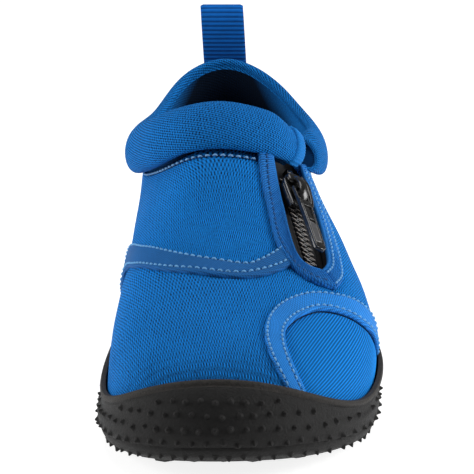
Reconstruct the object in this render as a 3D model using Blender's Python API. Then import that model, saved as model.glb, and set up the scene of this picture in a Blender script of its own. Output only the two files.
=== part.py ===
"""Low-cut neoprene water shoe, left foot, with a short zip on the lateral side of the instep.

The toe points along -Y, the lateral side lies along +X, and the sole stands on z = 0.
Dimensions here are millimetres, and every mesh is made in metres.
"""

import math

import bmesh
import bpy
import numpy as np
from mathutils import Matrix, Vector
from mathutils.geometry import delaunay_2d_cdt

MM = 0.001
GAP = 0.3

# Stations round the foot, counted from the toe through the lateral side to the heel and back.
# Each is: sole outline (x, y) | collar seam (x, y, z) | lower handle (out, up) | upper handle (x, y, z)
STATIONS = (
    ((-7, -135), (-4, 2, 82), (1, 32), (1, 64, 46)),
    ((21, -125), (10, 5, 79), (2, 32), (-8, 58, 43)),
    ((43, -93), (20, 16, 73), (5, 31), (-13, 40, 32)),
    ((47.6, -45), (25, 36, 67), (9.5, 24), (-11, 16, 25)),
    ((43, 12), (24.5, 60, 64), (1.5, 22), (-6, 4, 24)),
    ((36, 68), (25, 84, 65), (0, 22), (-4, 0, 22)),
    ((27, 112), (18, 108, 69), (2, 24), (0, -3, 24)),
    ((-4, 135), (-4, 121, 71), (5, 24), (0, -3, 24)),
    ((-33, 113), (-24, 109, 70), (2, 24), (0, -3, 24)),
    ((-39, 68), (-32, 84, 65), (0, 22), (2, 0, 22)),
    ((-41, 12), (-33.5, 60, 62.5), (-1, 20), (3, 4, 24)),
    ((-45.2, -45), (-31.5, 36, 66), (1, 22), (6, 16, 26)),
    ((-45, -93), (-25, 16, 73), (1.5, 29), (10, 40, 34)),
    ((-32, -125), (-16, 5, 80), (2, 32), (6, 58, 44)),
)
RIM = (
    (-3, 17, 95), (11, 20, 91), (20, 31, 84), (24.5, 50, 78), (26, 72, 76), (21.5, 97, 78),
    (11, 117, 85), (-4.5, 124, 89), (-19, 117, 85), (-26, 97, 79), (-30.5, 72, 78),
    (-31, 50, 81), (-25, 31, 88), (-15, 20, 93.5),
)
COLLAR_BULGE = (6.5, 6.5, 6.5, 8, 7, 3.5, 2.5, 2.5, 2.5, 3, 7, 9, 8.5, 7)
COLLAR_DROOP = 0.45
RAND_HEIGHT = (31.2, 26.6, 17.5, 20, 19, 19, 24, 28, 24, 19, 19, 19, 18.8, 27)
TURN = len(STATIONS)
HEEL = 7

# Sole
FEATHER_INSET = 3.5
FEATHER_HEIGHT = 9
SOLE_FLOOR = 8.7
SPRING_START = -60
SPRING_LENGTH = 75
SPRING_RISE = 7
RAND_GAP = 0.7
RAND_WALL = 1.4
BOARD = (9.0, 10.4)
FOOTBED = (10.7, 13.8)
COVER = (14.1, 14.9)

# Neoprene and tapes
NEOPRENE = 3.0
COLLAR_WALL = 3.2
COLLAR_RISE = np.linspace(0.03, 1.0, 9)
FRONT_END = (1.72, 1.98)
REAR_END = (2.28, 2.46)
BINDING_WIDTH = 0.17
BINDING_GAP = 0.45
BINDING_LIP = 0.06
TAPE = 0.6
TAPE_FOOT = 0.16
SEAM_GAP = 0.012

# Zip
TAPE_SUNK = 1.1
CHAIN_FOOT = (1.56, 0.670, 4.0, 1.0)
CHAIN_HEAD = (1.42, 0.978, 3.2, 2.0)
ZIP_FACE = (1.53, 0.853)
TOOTH_PITCH = 2.6
TOOTH_LENGTH = 1.5
TOOTH_TIP = 0.7
TOOTH_ROOT = 2.0
CHAIN_HALF = 3.0
TOOTH_HALF = 1.5
SLIDER_REST = 39.0
SLIDER_HALF = 7.5
SLIDER_NOSE = 9.3
SLIDER_CAP = (3.2, 6.9)
PLATE = (2.0, 3.4)
PIVOT_HEIGHT = 6.3
TAB_LENGTH = 36
TAB_HALF = 3.1
TAB_LIFT = 4

# Heel loop
LOOP_X = (-12.1, 3.7)
WEBBING = 1.1
LOOP_PIVOT = (-4, 129.0, 83.2)
LOOP_TOP = 109.4
LOOP_SEWN = 9.0


# ---------------------------------------------------------------- curves and surfaces

def ring(values, q):
    """Closed smooth curve through the values, one for each station, at station number q."""
    v = np.asarray(values, float)
    n = len(v)
    system = 4 * np.eye(n) + np.roll(np.eye(n), 1, 1) + np.roll(np.eye(n), -1, 1)
    slope = np.linalg.solve(system, 3 * (np.roll(v, -1, 0) - np.roll(v, 1, 0)))
    q = np.asarray(q, float) % n
    low = np.floor(q).astype(int) % n
    high = (low + 1) % n
    f = (q - np.floor(q)).reshape(q.shape + (1,) * (v.ndim - 1))
    start = v[low] * (2 * f**3 - 3 * f**2 + 1) + slope[low] * (f**3 - 2 * f**2 + f)
    return start + v[high] * (3 * f**2 - 2 * f**3) + slope[high] * (f**3 - f**2)


def column(index):
    return [station[index] for station in STATIONS]


def spring(y):
    """Height by which the toe lifts off the ground."""
    return SPRING_RISE * np.clip((SPRING_START - np.asarray(y)) / SPRING_LENGTH, 0, None) ** 2


def sideways(curve, q):
    """Level unit vector that points out of a closed curve of stations."""
    along = ring(curve, np.asarray(q) + 1e-3) - ring(curve, np.asarray(q) - 1e-3)
    out = np.stack([along[..., 1], -along[..., 0]], -1)
    return out / np.linalg.norm(out, axis=-1, keepdims=True)


def outline(q, inset=0.0, height=0.0):
    """Point of the sole's outline, moved inwards and lifted off the sprung ground."""
    flat = ring(column(0), q) - sideways(column(0), q) * inset
    return np.concatenate([flat, (spring(flat[..., 1]) + height)[..., None]], -1)


def bezier(a, b, c, d, t):
    t = t[..., None]
    return a * (1 - t) ** 3 + 3 * b * t * (1 - t) ** 2 + 3 * c * t * t * (1 - t) + d * t**3


def upper_skin(q, t):
    """Outer face of the upper: t runs from the feather edge, 0, to the collar seam, 1."""
    q, t = np.broadcast_arrays(np.asarray(q, float), np.asarray(t, float))
    foot = outline(q, FEATHER_INSET, FEATHER_HEIGHT)
    seam = ring(column(1), q)
    low = ring(column(2), q)
    lean = np.concatenate([sideways(column(0), q) * low[..., :1], low[..., 1:]], -1)
    return bezier(foot, foot + lean, seam - ring(column(3), q), seam, t)


def collar_skin(q, s):
    """Outer face of the padded collar: s runs from its seam, 0, to its rim, 1."""
    q, s = np.broadcast_arrays(np.asarray(q, float), np.asarray(s, float))
    seam = ring(column(1), q)
    rim = ring(RIM, q)
    bulge = ring(COLLAR_BULGE, q)[..., None]
    out = np.concatenate([sideways(column(1), q), np.zeros(q.shape + (1,))], -1) * bulge
    droop = bulge * np.array([0, 0, COLLAR_DROOP])
    rise = rim - seam
    return bezier(seam, seam + out - droop - 0.05 * rise, rim + out - 0.1 * rise, rim, s)


def frame_at(skin, q, t):
    """Tangents and outward normal of a skin."""
    step = 1e-3
    along = (skin(q + step, t) - skin(q - step, t)) / (2 * step)
    up = (skin(q, t + step) - skin(q, t - step)) / (2 * step)
    normal = np.cross(along, up)
    return along, up, normal / np.linalg.norm(normal, axis=-1, keepdims=True)


def under(skin, q, t, depth):
    """Point at a depth below a skin. A negative depth stands proud of it."""
    q, t = np.broadcast_arrays(np.asarray(q, float), np.asarray(t, float))
    depth = np.asarray(depth, float)[..., None]
    return skin(q, t) - frame_at(skin, q, t)[2] * depth


def smooth(points, count):
    """Even samples of a smooth open curve through (q, t) points."""
    p = np.asarray(points, float)
    ends = np.concatenate([[2 * p[0] - p[1]], p, [2 * p[-1] - p[-2]]])
    out = []
    for i in range(len(p) - 1):
        a, b, c, d = ends[i : i + 4]
        for f in np.linspace(0, 1, 12, endpoint=False):
            out.append(0.5 * (2 * b + (c - a) * f + (2 * a - 5 * b + 4 * c - d) * f**2
                              + (3 * b - a - 3 * c + d) * f**3))
    out = np.array(out + [p[-1]])
    metric = out * np.array([25, 90])
    run = np.concatenate([[0], np.cumsum(np.linalg.norm(np.diff(metric, axis=0), axis=1))])
    even = np.linspace(0, run[-1], count)
    return np.stack([np.interp(even, run, out[:, k]) for k in (0, 1)], -1)


def beside(curve, distance):
    """A curve on the upper moved sideways over the skin, to its left when positive."""
    q, t = curve[:, 0], curve[:, 1]
    along, up, normal = frame_at(upper_skin, q, t)
    points = upper_skin(q, t)
    forward = np.gradient(points, axis=0)
    side = np.cross(normal, forward)
    side /= np.linalg.norm(side, axis=1, keepdims=True)
    moved = []
    for i in range(len(curve)):
        jacobian = np.stack([along[i], up[i]], 1)
        moved.append(curve[i] + np.linalg.lstsq(jacobian, side[i] * distance, rcond=None)[0])
    return np.array(moved)


def level(q_from, q_to, t, count):
    return np.stack([np.linspace(q_from, q_to, count), np.full(count, float(t))], -1)


def upright(q, t_from, t_to, count):
    return np.stack([np.full(count, float(q)), np.linspace(t_from, t_to, count)], -1)


# ---------------------------------------------------------------- objects

def material(name, colour, roughness, metallic=0.0):
    made = bpy.data.materials.new(name)
    made.use_nodes = True
    shader = made.node_tree.nodes["Principled BSDF"]
    shader.inputs["Base Color"].default_value = (*colour, 1)
    shader.inputs["Roughness"].default_value = roughness
    shader.inputs["Metallic"].default_value = metallic
    made.diffuse_color = (*colour, 1)
    return made


def body(name, points, faces, finish, place=None):
    """One closed mesh object from millimetre points."""
    mesh = bpy.data.meshes.new(name)
    mesh.from_pydata([tuple(float(c) * MM for c in p) for p in points], [], faces)
    work = bmesh.new()
    work.from_mesh(mesh)
    bmesh.ops.recalc_face_normals(work, faces=work.faces)
    if work.calc_volume(signed=True) < 0:
        bmesh.ops.reverse_faces(work, faces=work.faces)
    work.to_mesh(mesh)
    work.free()
    mesh.shade_smooth()
    mesh.set_sharp_from_angle(angle=math.radians(40))
    mesh.materials.append(finish)
    made = bpy.data.objects.new(name, mesh)
    bpy.context.scene.collection.objects.link(made)
    if place is not None:
        made.matrix_world = place
    return made


def lattice(name, grid, finish, caps=None, place=None):
    """Closed body from rings of points: each row of the grid is one closed section.

    The caps are the faces that close its two ends, as indices into a section."""
    grid = np.asarray(grid, float)
    rows, size = grid.shape[:2]
    faces = []
    for i in range(rows - 1):
        for j in range(size):
            a, b = i * size + j, i * size + (j + 1) % size
            faces.append((a, b, b + size, a + size))
    last = (rows - 1) * size
    for cap in caps or [tuple(range(size))]:
        faces.append(cap)
        faces.append(tuple(last + j for j in reversed(cap)))
    return body(name, grid.reshape(-1, 3), faces, finish, place)


def sheet(name, outer, inner, finish):
    """Closed sheet between two lattices of the same size, sewn round its border."""
    rows, size = outer.shape[:2]
    layer = rows * size
    points = np.concatenate([outer.reshape(-1, 3), inner.reshape(-1, 3)])
    faces = []
    for i in range(rows - 1):
        for j in range(size - 1):
            a = i * size + j
            quad = (a, a + 1, a + size + 1, a + size)
            faces.append(quad)
            faces.append(tuple(layer + k for k in reversed(quad)))
    border = list(range(size))
    border += [i * size + size - 1 for i in range(1, rows)]
    border += [(rows - 1) * size + j for j in range(size - 2, -1, -1)]
    border += [i * size for i in range(rows - 2, 0, -1)]
    for k, a in enumerate(border):
        b = border[(k + 1) % len(border)]
        faces.append((b, a, layer + a, layer + b))
    return body(name, points, faces, finish)


def filled(border, spacing, scale=(1, 1)):
    """Triangles over a flat outline, with a staggered lattice of points inside it."""
    plan = np.asarray(border, float) * np.array(scale)
    ahead = np.roll(plan, -1, 0)
    lows, highs = plan.min(0), plan.max(0)
    inside = []
    row = 0
    y = lows[1] + spacing / 2
    while y < highs[1]:
        x = lows[0] + spacing * (0.5 if row % 2 else 1.0)
        while x < highs[0]:
            crosses = (plan[:, 1] > y) != (ahead[:, 1] > y)
            rise = np.where(crosses, ahead[:, 1] - plan[:, 1], 1)
            at = plan[:, 0] + (y - plan[:, 1]) * (ahead[:, 0] - plan[:, 0]) / rise
            clear = np.linalg.norm(plan - (x, y), axis=1).min() > 0.55 * spacing
            if np.count_nonzero(crosses & (x < at)) % 2 and clear:
                inside.append((x, y))
            x += spacing
        y += spacing * 0.87
        row += 1
    points = [Vector(p) for p in plan] + [Vector(p) for p in inside]
    loop = list(range(len(plan)))
    result = delaunay_2d_cdt(points, [], [loop], 1, 1e-6)
    found = np.array([tuple(p) for p in result[0]]) / np.array(scale)
    return found, [tuple(f) for f in result[2]]


def panel(name, border, depth, thickness, spacing, finish):
    """Sheet over the upper inside a closed (q, t) border."""
    spots, triangles = filled(border, spacing, (25, 90))
    outer = under(upper_skin, spots[:, 0], spots[:, 1], depth)
    inner = under(upper_skin, spots[:, 0], spots[:, 1], depth + thickness)
    return doubled(name, outer, inner, triangles, finish)


def doubled(name, outer, inner, triangles, finish):
    """Closed body from one triangulation used for both faces of a sheet."""
    count = len(outer)
    faces = list(triangles) + [tuple(count + k for k in reversed(f)) for f in triangles]
    edges = {(f[k], f[(k + 1) % len(f)]) for f in triangles for k in range(len(f))}
    for a, b in edges:
        if (b, a) not in edges:
            faces.append((b, a, count + a, count + b))
    return body(name, np.concatenate([outer, inner]), faces, finish)


def strip(name, first, second, finish, lift=0.45, thickness=TAPE, across=3):
    """Tape on the upper between two (q, t) curves."""
    share = np.linspace(0, 1, across + 1)[:, None, None]
    spots = first[None] * (1 - share) + second[None] * share
    outer = under(upper_skin, spots[..., 0], spots[..., 1], -lift - thickness)
    inner = under(upper_skin, spots[..., 0], spots[..., 1], -lift)
    return sheet(name, outer, inner, finish)


def prism(name, profile, low, high, finish, place=None):
    """Flat (x, y) outline pulled along z."""
    grid = [[(x, y, z) for x, y in profile] for z in (low, high)]
    return lattice(name, grid, finish, place=place)


def join(target, others, operation="UNION"):
    for other in others:
        step = target.modifiers.new(other.name, "BOOLEAN")
        step.operation = operation
        step.solver = "EXACT"
        step.object = other
        other.hide_render = True
        other.display_type = "WIRE"


# ---------------------------------------------------------------- boundary curves of the upper

INSTEP_SEAM = (
    (-4.0, 0.0), (-3.75, 0.24), (-3.25, 0.5), (-2.6, 0.648), (-1.9, 0.695), (-1.3, 0.706),
    (-0.4, 0.699), (0.28, 0.685), (0.6, 0.694), (1.0, 0.716), (1.2, 0.748),
)
SLOT_FRONT = (
    (1.12, 0.985), (1.12, 0.923), (1.15, 0.858), (1.175, 0.79), (1.24, 0.72), (1.40, 0.673),
    (1.68, 0.633),
)
SLOT_REAR = (
    (1.68, 0.633), (1.87, 0.655), (1.965, 0.715), (2.02, 0.777), (2.05, 0.83), (2.07, 0.9),
    (2.07, 0.985),
)
PATCH_EDGE = (
    (1.32, 0.0), (1.10, 0.167), (0.93, 0.323), (0.885, 0.42), (0.97, 0.468), (1.17, 0.497),
    (1.46, 0.498), (1.82, 0.453), (2.17, 0.385), (2.60, 0.277), (2.95, 0.14), (3.15, 0.0),
)
PATCH_TAPE_EDGE = (
    (1.05, 0.0), (0.84, 0.198), (0.68, 0.332), (0.62, 0.43), (0.68, 0.507), (0.86, 0.558),
    (1.15, 0.58), (1.48, 0.57), (1.94, 0.518), (2.36, 0.447), (2.75, 0.347), (3.15, 0.18),
    (3.42, 0.0),
)
BORDER_FRONT_EDGE = (
    (0.78, 0.955), (0.79, 0.933), (0.85, 0.863), (0.90, 0.79), (0.99, 0.738), (1.21, 0.665),
    (1.48, 0.608), (1.84, 0.555),
)
BORDER_REAR_EDGE = (
    (1.84, 0.555), (2.06, 0.575), (2.18, 0.63), (2.26, 0.70), (2.33, 0.78), (2.37, 0.85),
    (2.39, 0.92), (2.39, 0.955),
)
TOP = 0.985


def neoprene_panels(blue, bright):
    seam = smooth(INSTEP_SEAM, 34)
    front = smooth(SLOT_FRONT, 14)
    rear = smooth(SLOT_REAR, 12)
    patch = smooth(PATCH_EDGE, 30)
    half = 0.5 * GAP
    split = np.argmin(np.linalg.norm((front - seam[-1]) * (25, 90), axis=1))

    below = beside(seam, -half)[:-1]
    lower_front = front[split + 1 : -1]
    vamp = np.concatenate([
        level(3.42, HEEL - SEAM_GAP, 0, 11)[:-1] + (-0.23, 0),
        upright(HEEL - SEAM_GAP, 0, TOP, 9)[:-1],
        level(HEEL - SEAM_GAP, 2.07, TOP, 18),
        rear[::-1][1:],
        lower_front[::-1],
        below[::-1],
        level(below[0, 0] + 0.3, 1.2, 0, 16),
        beside(patch, half)[1:-1],
    ])
    vamp[:, 1] = np.clip(vamp[:, 1], 0, TOP)
    panel("vamp_panel", vamp, 0, NEOPRENE, 8.5, blue)

    above = beside(seam, half)[:-1]
    above[0, 1] = 0
    instep = np.concatenate([
        above,
        front[: split - 1][::-1],
        level(1.12, SEAM_GAP - HEEL, TOP, 30)[1:-1],
        upright(SEAM_GAP - HEEL, TOP, 0, 9),
        level(SEAM_GAP - HEEL, above[0, 0], 0, 9)[1:-1],
    ])
    panel("instep_panel", instep, 0, NEOPRENE, 8.5, blue)

    edge = beside(patch, -half)
    edge[0, 1] = 0
    edge[-1, 1] = 0
    ribbed = np.concatenate([edge, level(edge[-1, 0], edge[0, 0], 0, 8)[1:-1]])
    panel("forefoot_patch", ribbed, 0, NEOPRENE, 7.0, bright)


def collar_part(name, q_low, q_high, columns, finish):
    """Padded collar band between two slanted ends, each a pair of q at the seam and at the rim."""
    share = np.linspace(0, 1, columns)[:, None]
    low = q_low[0] + (q_low[1] - q_low[0]) * COLLAR_RISE
    high = q_high[0] + (q_high[1] - q_high[0]) * COLLAR_RISE
    q = low * (1 - share) + high * share
    outer = under(collar_skin, q, COLLAR_RISE[None], 0)
    inner = under(collar_skin, q, COLLAR_RISE[None], COLLAR_WALL)
    return sheet(name, outer, inner, finish)


def collar(blue, bright):
    collar_part("collar_front", (SEAM_GAP - HEEL, SEAM_GAP - HEEL), FRONT_END, 46, blue)
    collar_part("collar_rear", REAR_END, (HEEL - SEAM_GAP, HEEL - SEAM_GAP), 26, blue)
    for name, end, way in (("collar_binding_front", FRONT_END, 1),
                           ("collar_binding_rear", REAR_END, -1)):
        q_end = end[0] + (end[1] - end[0]) * COLLAR_RISE
        width, clear = BINDING_WIDTH, BINDING_GAP
        out = clear + TAPE
        section = (
            (-width, -clear), (0.02, -clear), (0.02, COLLAR_WALL + clear),
            (-width, COLLAR_WALL + clear), (-width, COLLAR_WALL + out), (BINDING_LIP, COLLAR_WALL + out),
            (BINDING_LIP, -out), (-width, -out),
        )
        grid = [[under(collar_skin, q + way * dq, r, depth) for dq, depth in section]
                for q, r in zip(q_end, COLLAR_RISE)]
        lattice(name, grid, bright, caps=[(0, 1, 6, 7), (1, 2, 5, 6), (2, 3, 4, 5)])


def tapes(satin):
    seam_low = smooth([(-4.12, 0.24), (-3.2, 0.43), (-2.55, 0.6), (-2.0, 0.648), (-1.47, 0.668),
                       (-0.56, 0.672), (0.22, 0.658), (0.6, 0.664), (0.98, 0.683)], 26)
    seam_high = smooth([(-4.3, 0.26), (-3.5, 0.5), (-2.7, 0.69), (-1.85, 0.735), (-1.13, 0.738),
                        (-0.21, 0.72), (0.36, 0.708), (0.59, 0.72), (0.86, 0.745)], 26)
    strip("instep_seam_tape", seam_low, seam_high, satin)
    inner = smooth(PATCH_EDGE, 40)
    outer = smooth(PATCH_TAPE_EDGE, 40)
    keep = [i for i in range(40) if min(inner[i, 1], outer[i, 1]) > TAPE_FOOT]
    strip("patch_border_tape", outer[keep], inner[keep], satin)
    front = smooth([(1.12, 0.955), *SLOT_FRONT[1:]], 18)
    strip("zip_border_front", smooth(BORDER_FRONT_EDGE, 18), front, satin)
    rear = smooth([*SLOT_REAR[:-1], (2.07, 0.955)], 16)
    strip("zip_border_rear", rear[1:], smooth(BORDER_REAR_EDGE, 16)[1:], satin)
    back = np.linspace(0.36, 0.93, 9)
    left = np.stack([np.full(9, HEEL - 0.11), back], -1)
    right = np.stack([np.full(9, HEEL + 0.11), back], -1)
    strip("heel_seam_tape", left, right, satin)


# ---------------------------------------------------------------- sole

def rand_share(q):
    """t of the upper at which the rubber rand ends."""
    t = np.linspace(0, 0.6, 121)
    height = upper_skin(np.asarray(q)[:, None], t[None])[..., 2]
    wanted = ring(RAND_HEIGHT, q)
    return np.array([np.interp(w, h, t) for w, h in zip(wanted, height)])


def outsole(rubber):
    count = 84
    q = np.arange(count) * TURN / count
    top = rand_share(q)
    rings = [outline(q, inset, height) for inset, height in
             ((9, 0), (5.6, 0.7), (2.4, 2.6), (0.6, 6), (0, 10))]
    wall = RAND_GAP + RAND_WALL
    for share in (0.45, 0.75, 0.97):
        rings.append(under(upper_skin, q, top * share, -wall))
    rings.append(under(upper_skin, q, top, -RAND_GAP - 0.6))
    rings.append(under(upper_skin, q, top * 0.97, -RAND_GAP))
    for share in (0.55, 0.1):
        rings.append(under(upper_skin, q, top * share, -RAND_GAP))
    rings.append(outline(q, FEATHER_INSET - RAND_GAP, SOLE_FLOOR))
    points = list(np.concatenate(rings))
    faces = []
    for i in range(len(rings) - 1):
        for j in range(count):
            k = (j + 1) % count
            faces.append((i * count + j, i * count + k, (i + 1) * count + k, (i + 1) * count + j))
    for base, height in ((0, 0), ((len(rings) - 1) * count, SOLE_FLOOR)):
        border = rings[base // count]
        flat, triangles = filled(border[:, :2], 14)
        for p in flat[count:]:
            points.append(np.array([p[0], p[1], float(spring(p[1])) + height]))
        offset = len(points) - len(flat)
        for f in triangles:
            faces.append(tuple(base + k if k < count else offset + k for k in f))
    return body("outsole", points, faces, rubber)


def inside_layer(name, inset, heights, finish):
    """Sheet inside the shoe that follows the sole's outline and toe spring."""
    count = 60
    q = np.arange(count) * TURN / count
    border = outline(q, inset)[:, :2]
    flat, triangles = filled(border, 13)
    low, high = (np.column_stack([flat, spring(flat[:, 1]) + h]) for h in heights)
    return doubled(name, high, low, triangles, finish)


# ---------------------------------------------------------------- zip

def zip_frame():
    """Origin at the chain's foot, and unit axes: across (x), along the chain (y), out of it (z)."""
    ends = []
    out = frame_at(upper_skin, np.array(ZIP_FACE[0]), np.array(ZIP_FACE[1]))[2]
    for q, t, depth, _ in (CHAIN_FOOT, CHAIN_HEAD):
        ends.append(under(upper_skin, q, t, depth))
    along = (ends[1] - ends[0]) / np.linalg.norm(ends[1] - ends[0])
    out = out - along * (out @ along)
    out /= np.linalg.norm(out)
    across = np.cross(along, out)
    foot = ends[0] + across * CHAIN_FOOT[3]
    head = ends[1] + across * CHAIN_HEAD[3]
    along = (head - foot) / np.linalg.norm(head - foot)
    out = out - along * (out @ along)
    out /= np.linalg.norm(out)
    return foot, np.cross(along, out), along, out, float(np.linalg.norm(head - foot))


def zip_matrix(origin, across, along, out):
    place = Matrix.Identity(4)
    for i in range(3):
        place[i][0] = across[i]
        place[i][1] = along[i]
        place[i][2] = out[i]
        place[i][3] = origin[i] * MM
    return place


def skin_height(zip_axes, x, y):
    """Height of the upper over the zip's plane, and where on the upper that is."""
    origin, across, along, out, _ = zip_axes
    q, t = 1.5 + x * 0.05, 0.66 + y * 0.006
    for _ in range(7):
        a, b, _n = frame_at(upper_skin, q, t)
        gone = upper_skin(q, t) - origin
        error = np.array([gone @ across - x, gone @ along - y])
        jacobian = np.array([[a @ across, b @ across], [a @ along, b @ along]])
        step = np.linalg.solve(jacobian, error)
        q, t = q - step[0], t - step[1]
    return float((upper_skin(q, t) - origin) @ out)


def comb(name, side, start, count, length, finish, place):
    """Half of a closed zip chain: a cord with teeth moulded on it, straight along y."""
    profile = [(side * CHAIN_HALF, 0), (side * CHAIN_HALF, length)]
    profile.append((side * TOOTH_ROOT, length))
    for i in reversed(range(count)):
        y = start + i * TOOTH_PITCH
        profile += [(side * TOOTH_ROOT, y + TOOTH_LENGTH), (side * TOOTH_TIP, y + TOOTH_LENGTH),
                    (side * TOOTH_TIP, y), (side * TOOTH_ROOT, y)]
    profile.append((side * TOOTH_ROOT, 0))
    return prism(name, profile, -TOOTH_HALF, TOOTH_HALF, finish, place)


def zip_tape(name, side, reach, axes, finish):
    """Woven tape from the chain's edge to under the neoprene."""
    foot, across, along, out, length = axes
    distances = (CHAIN_HALF + 0.35, 4.6, 6.4, 9.0, reach)
    rows_top = []
    rows_low = []
    for y in np.linspace(-2.5, length - 0.5, 14):
        top = []
        low = []
        for d in distances:
            sunk = skin_height(axes, side * d, y) - NEOPRENE - TAPE_SUNK
            share = min(1.0, max(0.0, (d - 4.6) / 1.8))
            z = min(0.0, sunk) * share
            if d > 5:
                z = min(z, sunk)
            base = foot + across * side * d + along * y
            top.append(base + out * (z + 0.3))
            low.append(base + out * (z - 0.3))
        rows_top.append(top)
        rows_low.append(low)
    return sheet(name, np.array(rows_top), np.array(rows_low), finish)


def gusset(axes, finish):
    """Soft tongue behind the zip: sewn under the slot's border, hollow behind the slider."""
    low_q, high_q = 0.62, 2.62
    rows = 13
    columns = 13
    outer = []
    inner = []
    for i in range(rows):
        h = i / (rows - 1)
        line_out = []
        line_in = []
        for j in range(columns):
            c = j / (columns - 1)
            q = low_q + (high_q - low_q) * c
            pocket = math.sin(math.pi * c) ** 0.6
            if h <= 0.72:
                t = 0.545 + (0.98 - 0.545) * h / 0.72
                rise = min(1.0, h / 0.16)
                depth = 4.6 + 4.4 * pocket * rise
                line_out.append(under(upper_skin, q, t, depth))
                line_in.append(under(upper_skin, q, t, depth + 1.2))
            else:
                f = (h - 0.72) / 0.28
                base = under(upper_skin, q, 0.98, 4.6 + 4.4 * pocket)
                deep = under(upper_skin, q, 0.98, 5.8 + 4.4 * pocket)
                lift = (ring(RIM, q) - ring(column(1), q)) * 0.86 * f
                line_out.append(base + lift)
                line_in.append(deep + lift)
        outer.append(line_out)
        inner.append(line_in)
    return sheet("zip_gusset", np.array(outer), np.array(inner), finish)


def slider(place, rest, plastic):
    """Slider round the chain: two plates joined by the post at its upper end, a raised cap over
    its nose, and a bridge."""
    half = SLIDER_HALF
    narrow, wide = 3.95, 4.35
    plan = [(-narrow, -half), (narrow, -half), (wide, -1), (wide, half - 2.5), (2.2, SLIDER_NOSE),
            (-2.2, SLIDER_NOSE), (-wide, half - 2.5), (-wide, -1)]
    top = prism("slider_body", plan, PLATE[0], PLATE[1], plastic, place)
    bottom = prism("slider_bottom", plan, -PLATE[1], -PLATE[0], plastic, place)
    parts = [bottom]
    for side in (-1, 1):
        wall = [(side * 3.4, -half), (side * narrow, -half), (side * wide, -1),
                (side * wide, half - 2.5), (side * 3.4, half - 2.5)]
        parts.append(prism("slider_flange", wall, 0.7, PLATE[0] + 0.2, plastic, place))
        parts.append(prism("slider_flange", wall, -PLATE[0] - 0.2, -0.7, plastic, place))
    post = [(-0.4, 3.6), (0.4, 3.6), (0.4, 6.6), (-0.4, 6.6)]
    parts.append(prism("slider_post", post, -PLATE[0] - 0.5, PLATE[0] + 0.5, plastic, place))
    start, top_face = SLIDER_CAP
    cap = [(-3.2, start), (3.2, start), (3.2, half - 1), (1.8, SLIDER_NOSE - 0.8),
           (-1.8, SLIDER_NOSE - 0.8), (-3.2, half - 1)]
    parts.append(prism("slider_cap", cap, PLATE[1] - 0.3, top_face, plastic, place))
    outer = [(math.cos(a) * 6.2, 3.0 + math.sin(a) * 5.6) for a in np.linspace(0, math.pi, 13)]
    inner = [(math.cos(a) * 4.4, 4.3 + math.sin(a) * 3.2) for a in np.linspace(math.pi, 0, 13)]
    arch = outer + [(-4.4, 3.0)] + inner + [(4.4, 3.0)]
    grid = [[(x, y, z) for y, z in arch] for x in (-1.4, 1.4)]
    parts.append(lattice("slider_bridge", grid, plastic, place=place))
    join(top, parts)
    for part in parts + [top]:
        part.parent = rest
        part.matrix_parent_inverse = rest.matrix_world.inverted()
    return top


def pull_tab(pivot, plastic):
    """Tab that hangs from the bridge along -y, with a sunk plate near its end."""
    start, end = -8.2, -TAB_LENGTH
    plate = [(-TAB_HALF, start), (-TAB_HALF, end + 1.2), (-TAB_HALF + 1.2, end),
             (TAB_HALF - 1.2, end), (TAB_HALF, end + 1.2), (TAB_HALF, start)]
    place = pivot.matrix_world
    tab = prism("pull_tab", plate, -0.9, 0.9, plastic, place)
    parts = []
    for side in (-1, 1):
        arm = [(side * 2.0, start - 1), (side * TAB_HALF, start - 1), (side * TAB_HALF, 0.4),
               (side * 2.0, 0.4)]
        parts.append(prism("tab_arm", arm, -0.75, 0.75, plastic, place))
    rod = [[(x, 0.8 * math.cos(a), 0.8 * math.sin(a)) for a in np.arange(10) * math.tau / 10]
           for x in (-TAB_HALF + 0.05, TAB_HALF - 0.05)]
    parts.append(lattice("tab_rod", rod, plastic, place=place))
    join(tab, parts)
    sunk = [(-TAB_HALF + 0.9, -33), (TAB_HALF - 0.9, -33), (TAB_HALF - 0.9, -19),
            (-TAB_HALF + 0.9, -19)]
    pocket = prism("tab_pocket", sunk, 0.4, 2.0, plastic, place)
    join(tab, [pocket], "DIFFERENCE")
    for part in parts + [tab, pocket]:
        part.parent = pivot
        part.matrix_parent_inverse = pivot.matrix_world.inverted()
    return tab


def empty(name, place, parent=None):
    made = bpy.data.objects.new(name, None)
    bpy.context.scene.collection.objects.link(made)
    made.matrix_world = place
    if parent is not None:
        made.parent = parent
        made.matrix_parent_inverse = parent.matrix_world.inverted()
    return made


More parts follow.
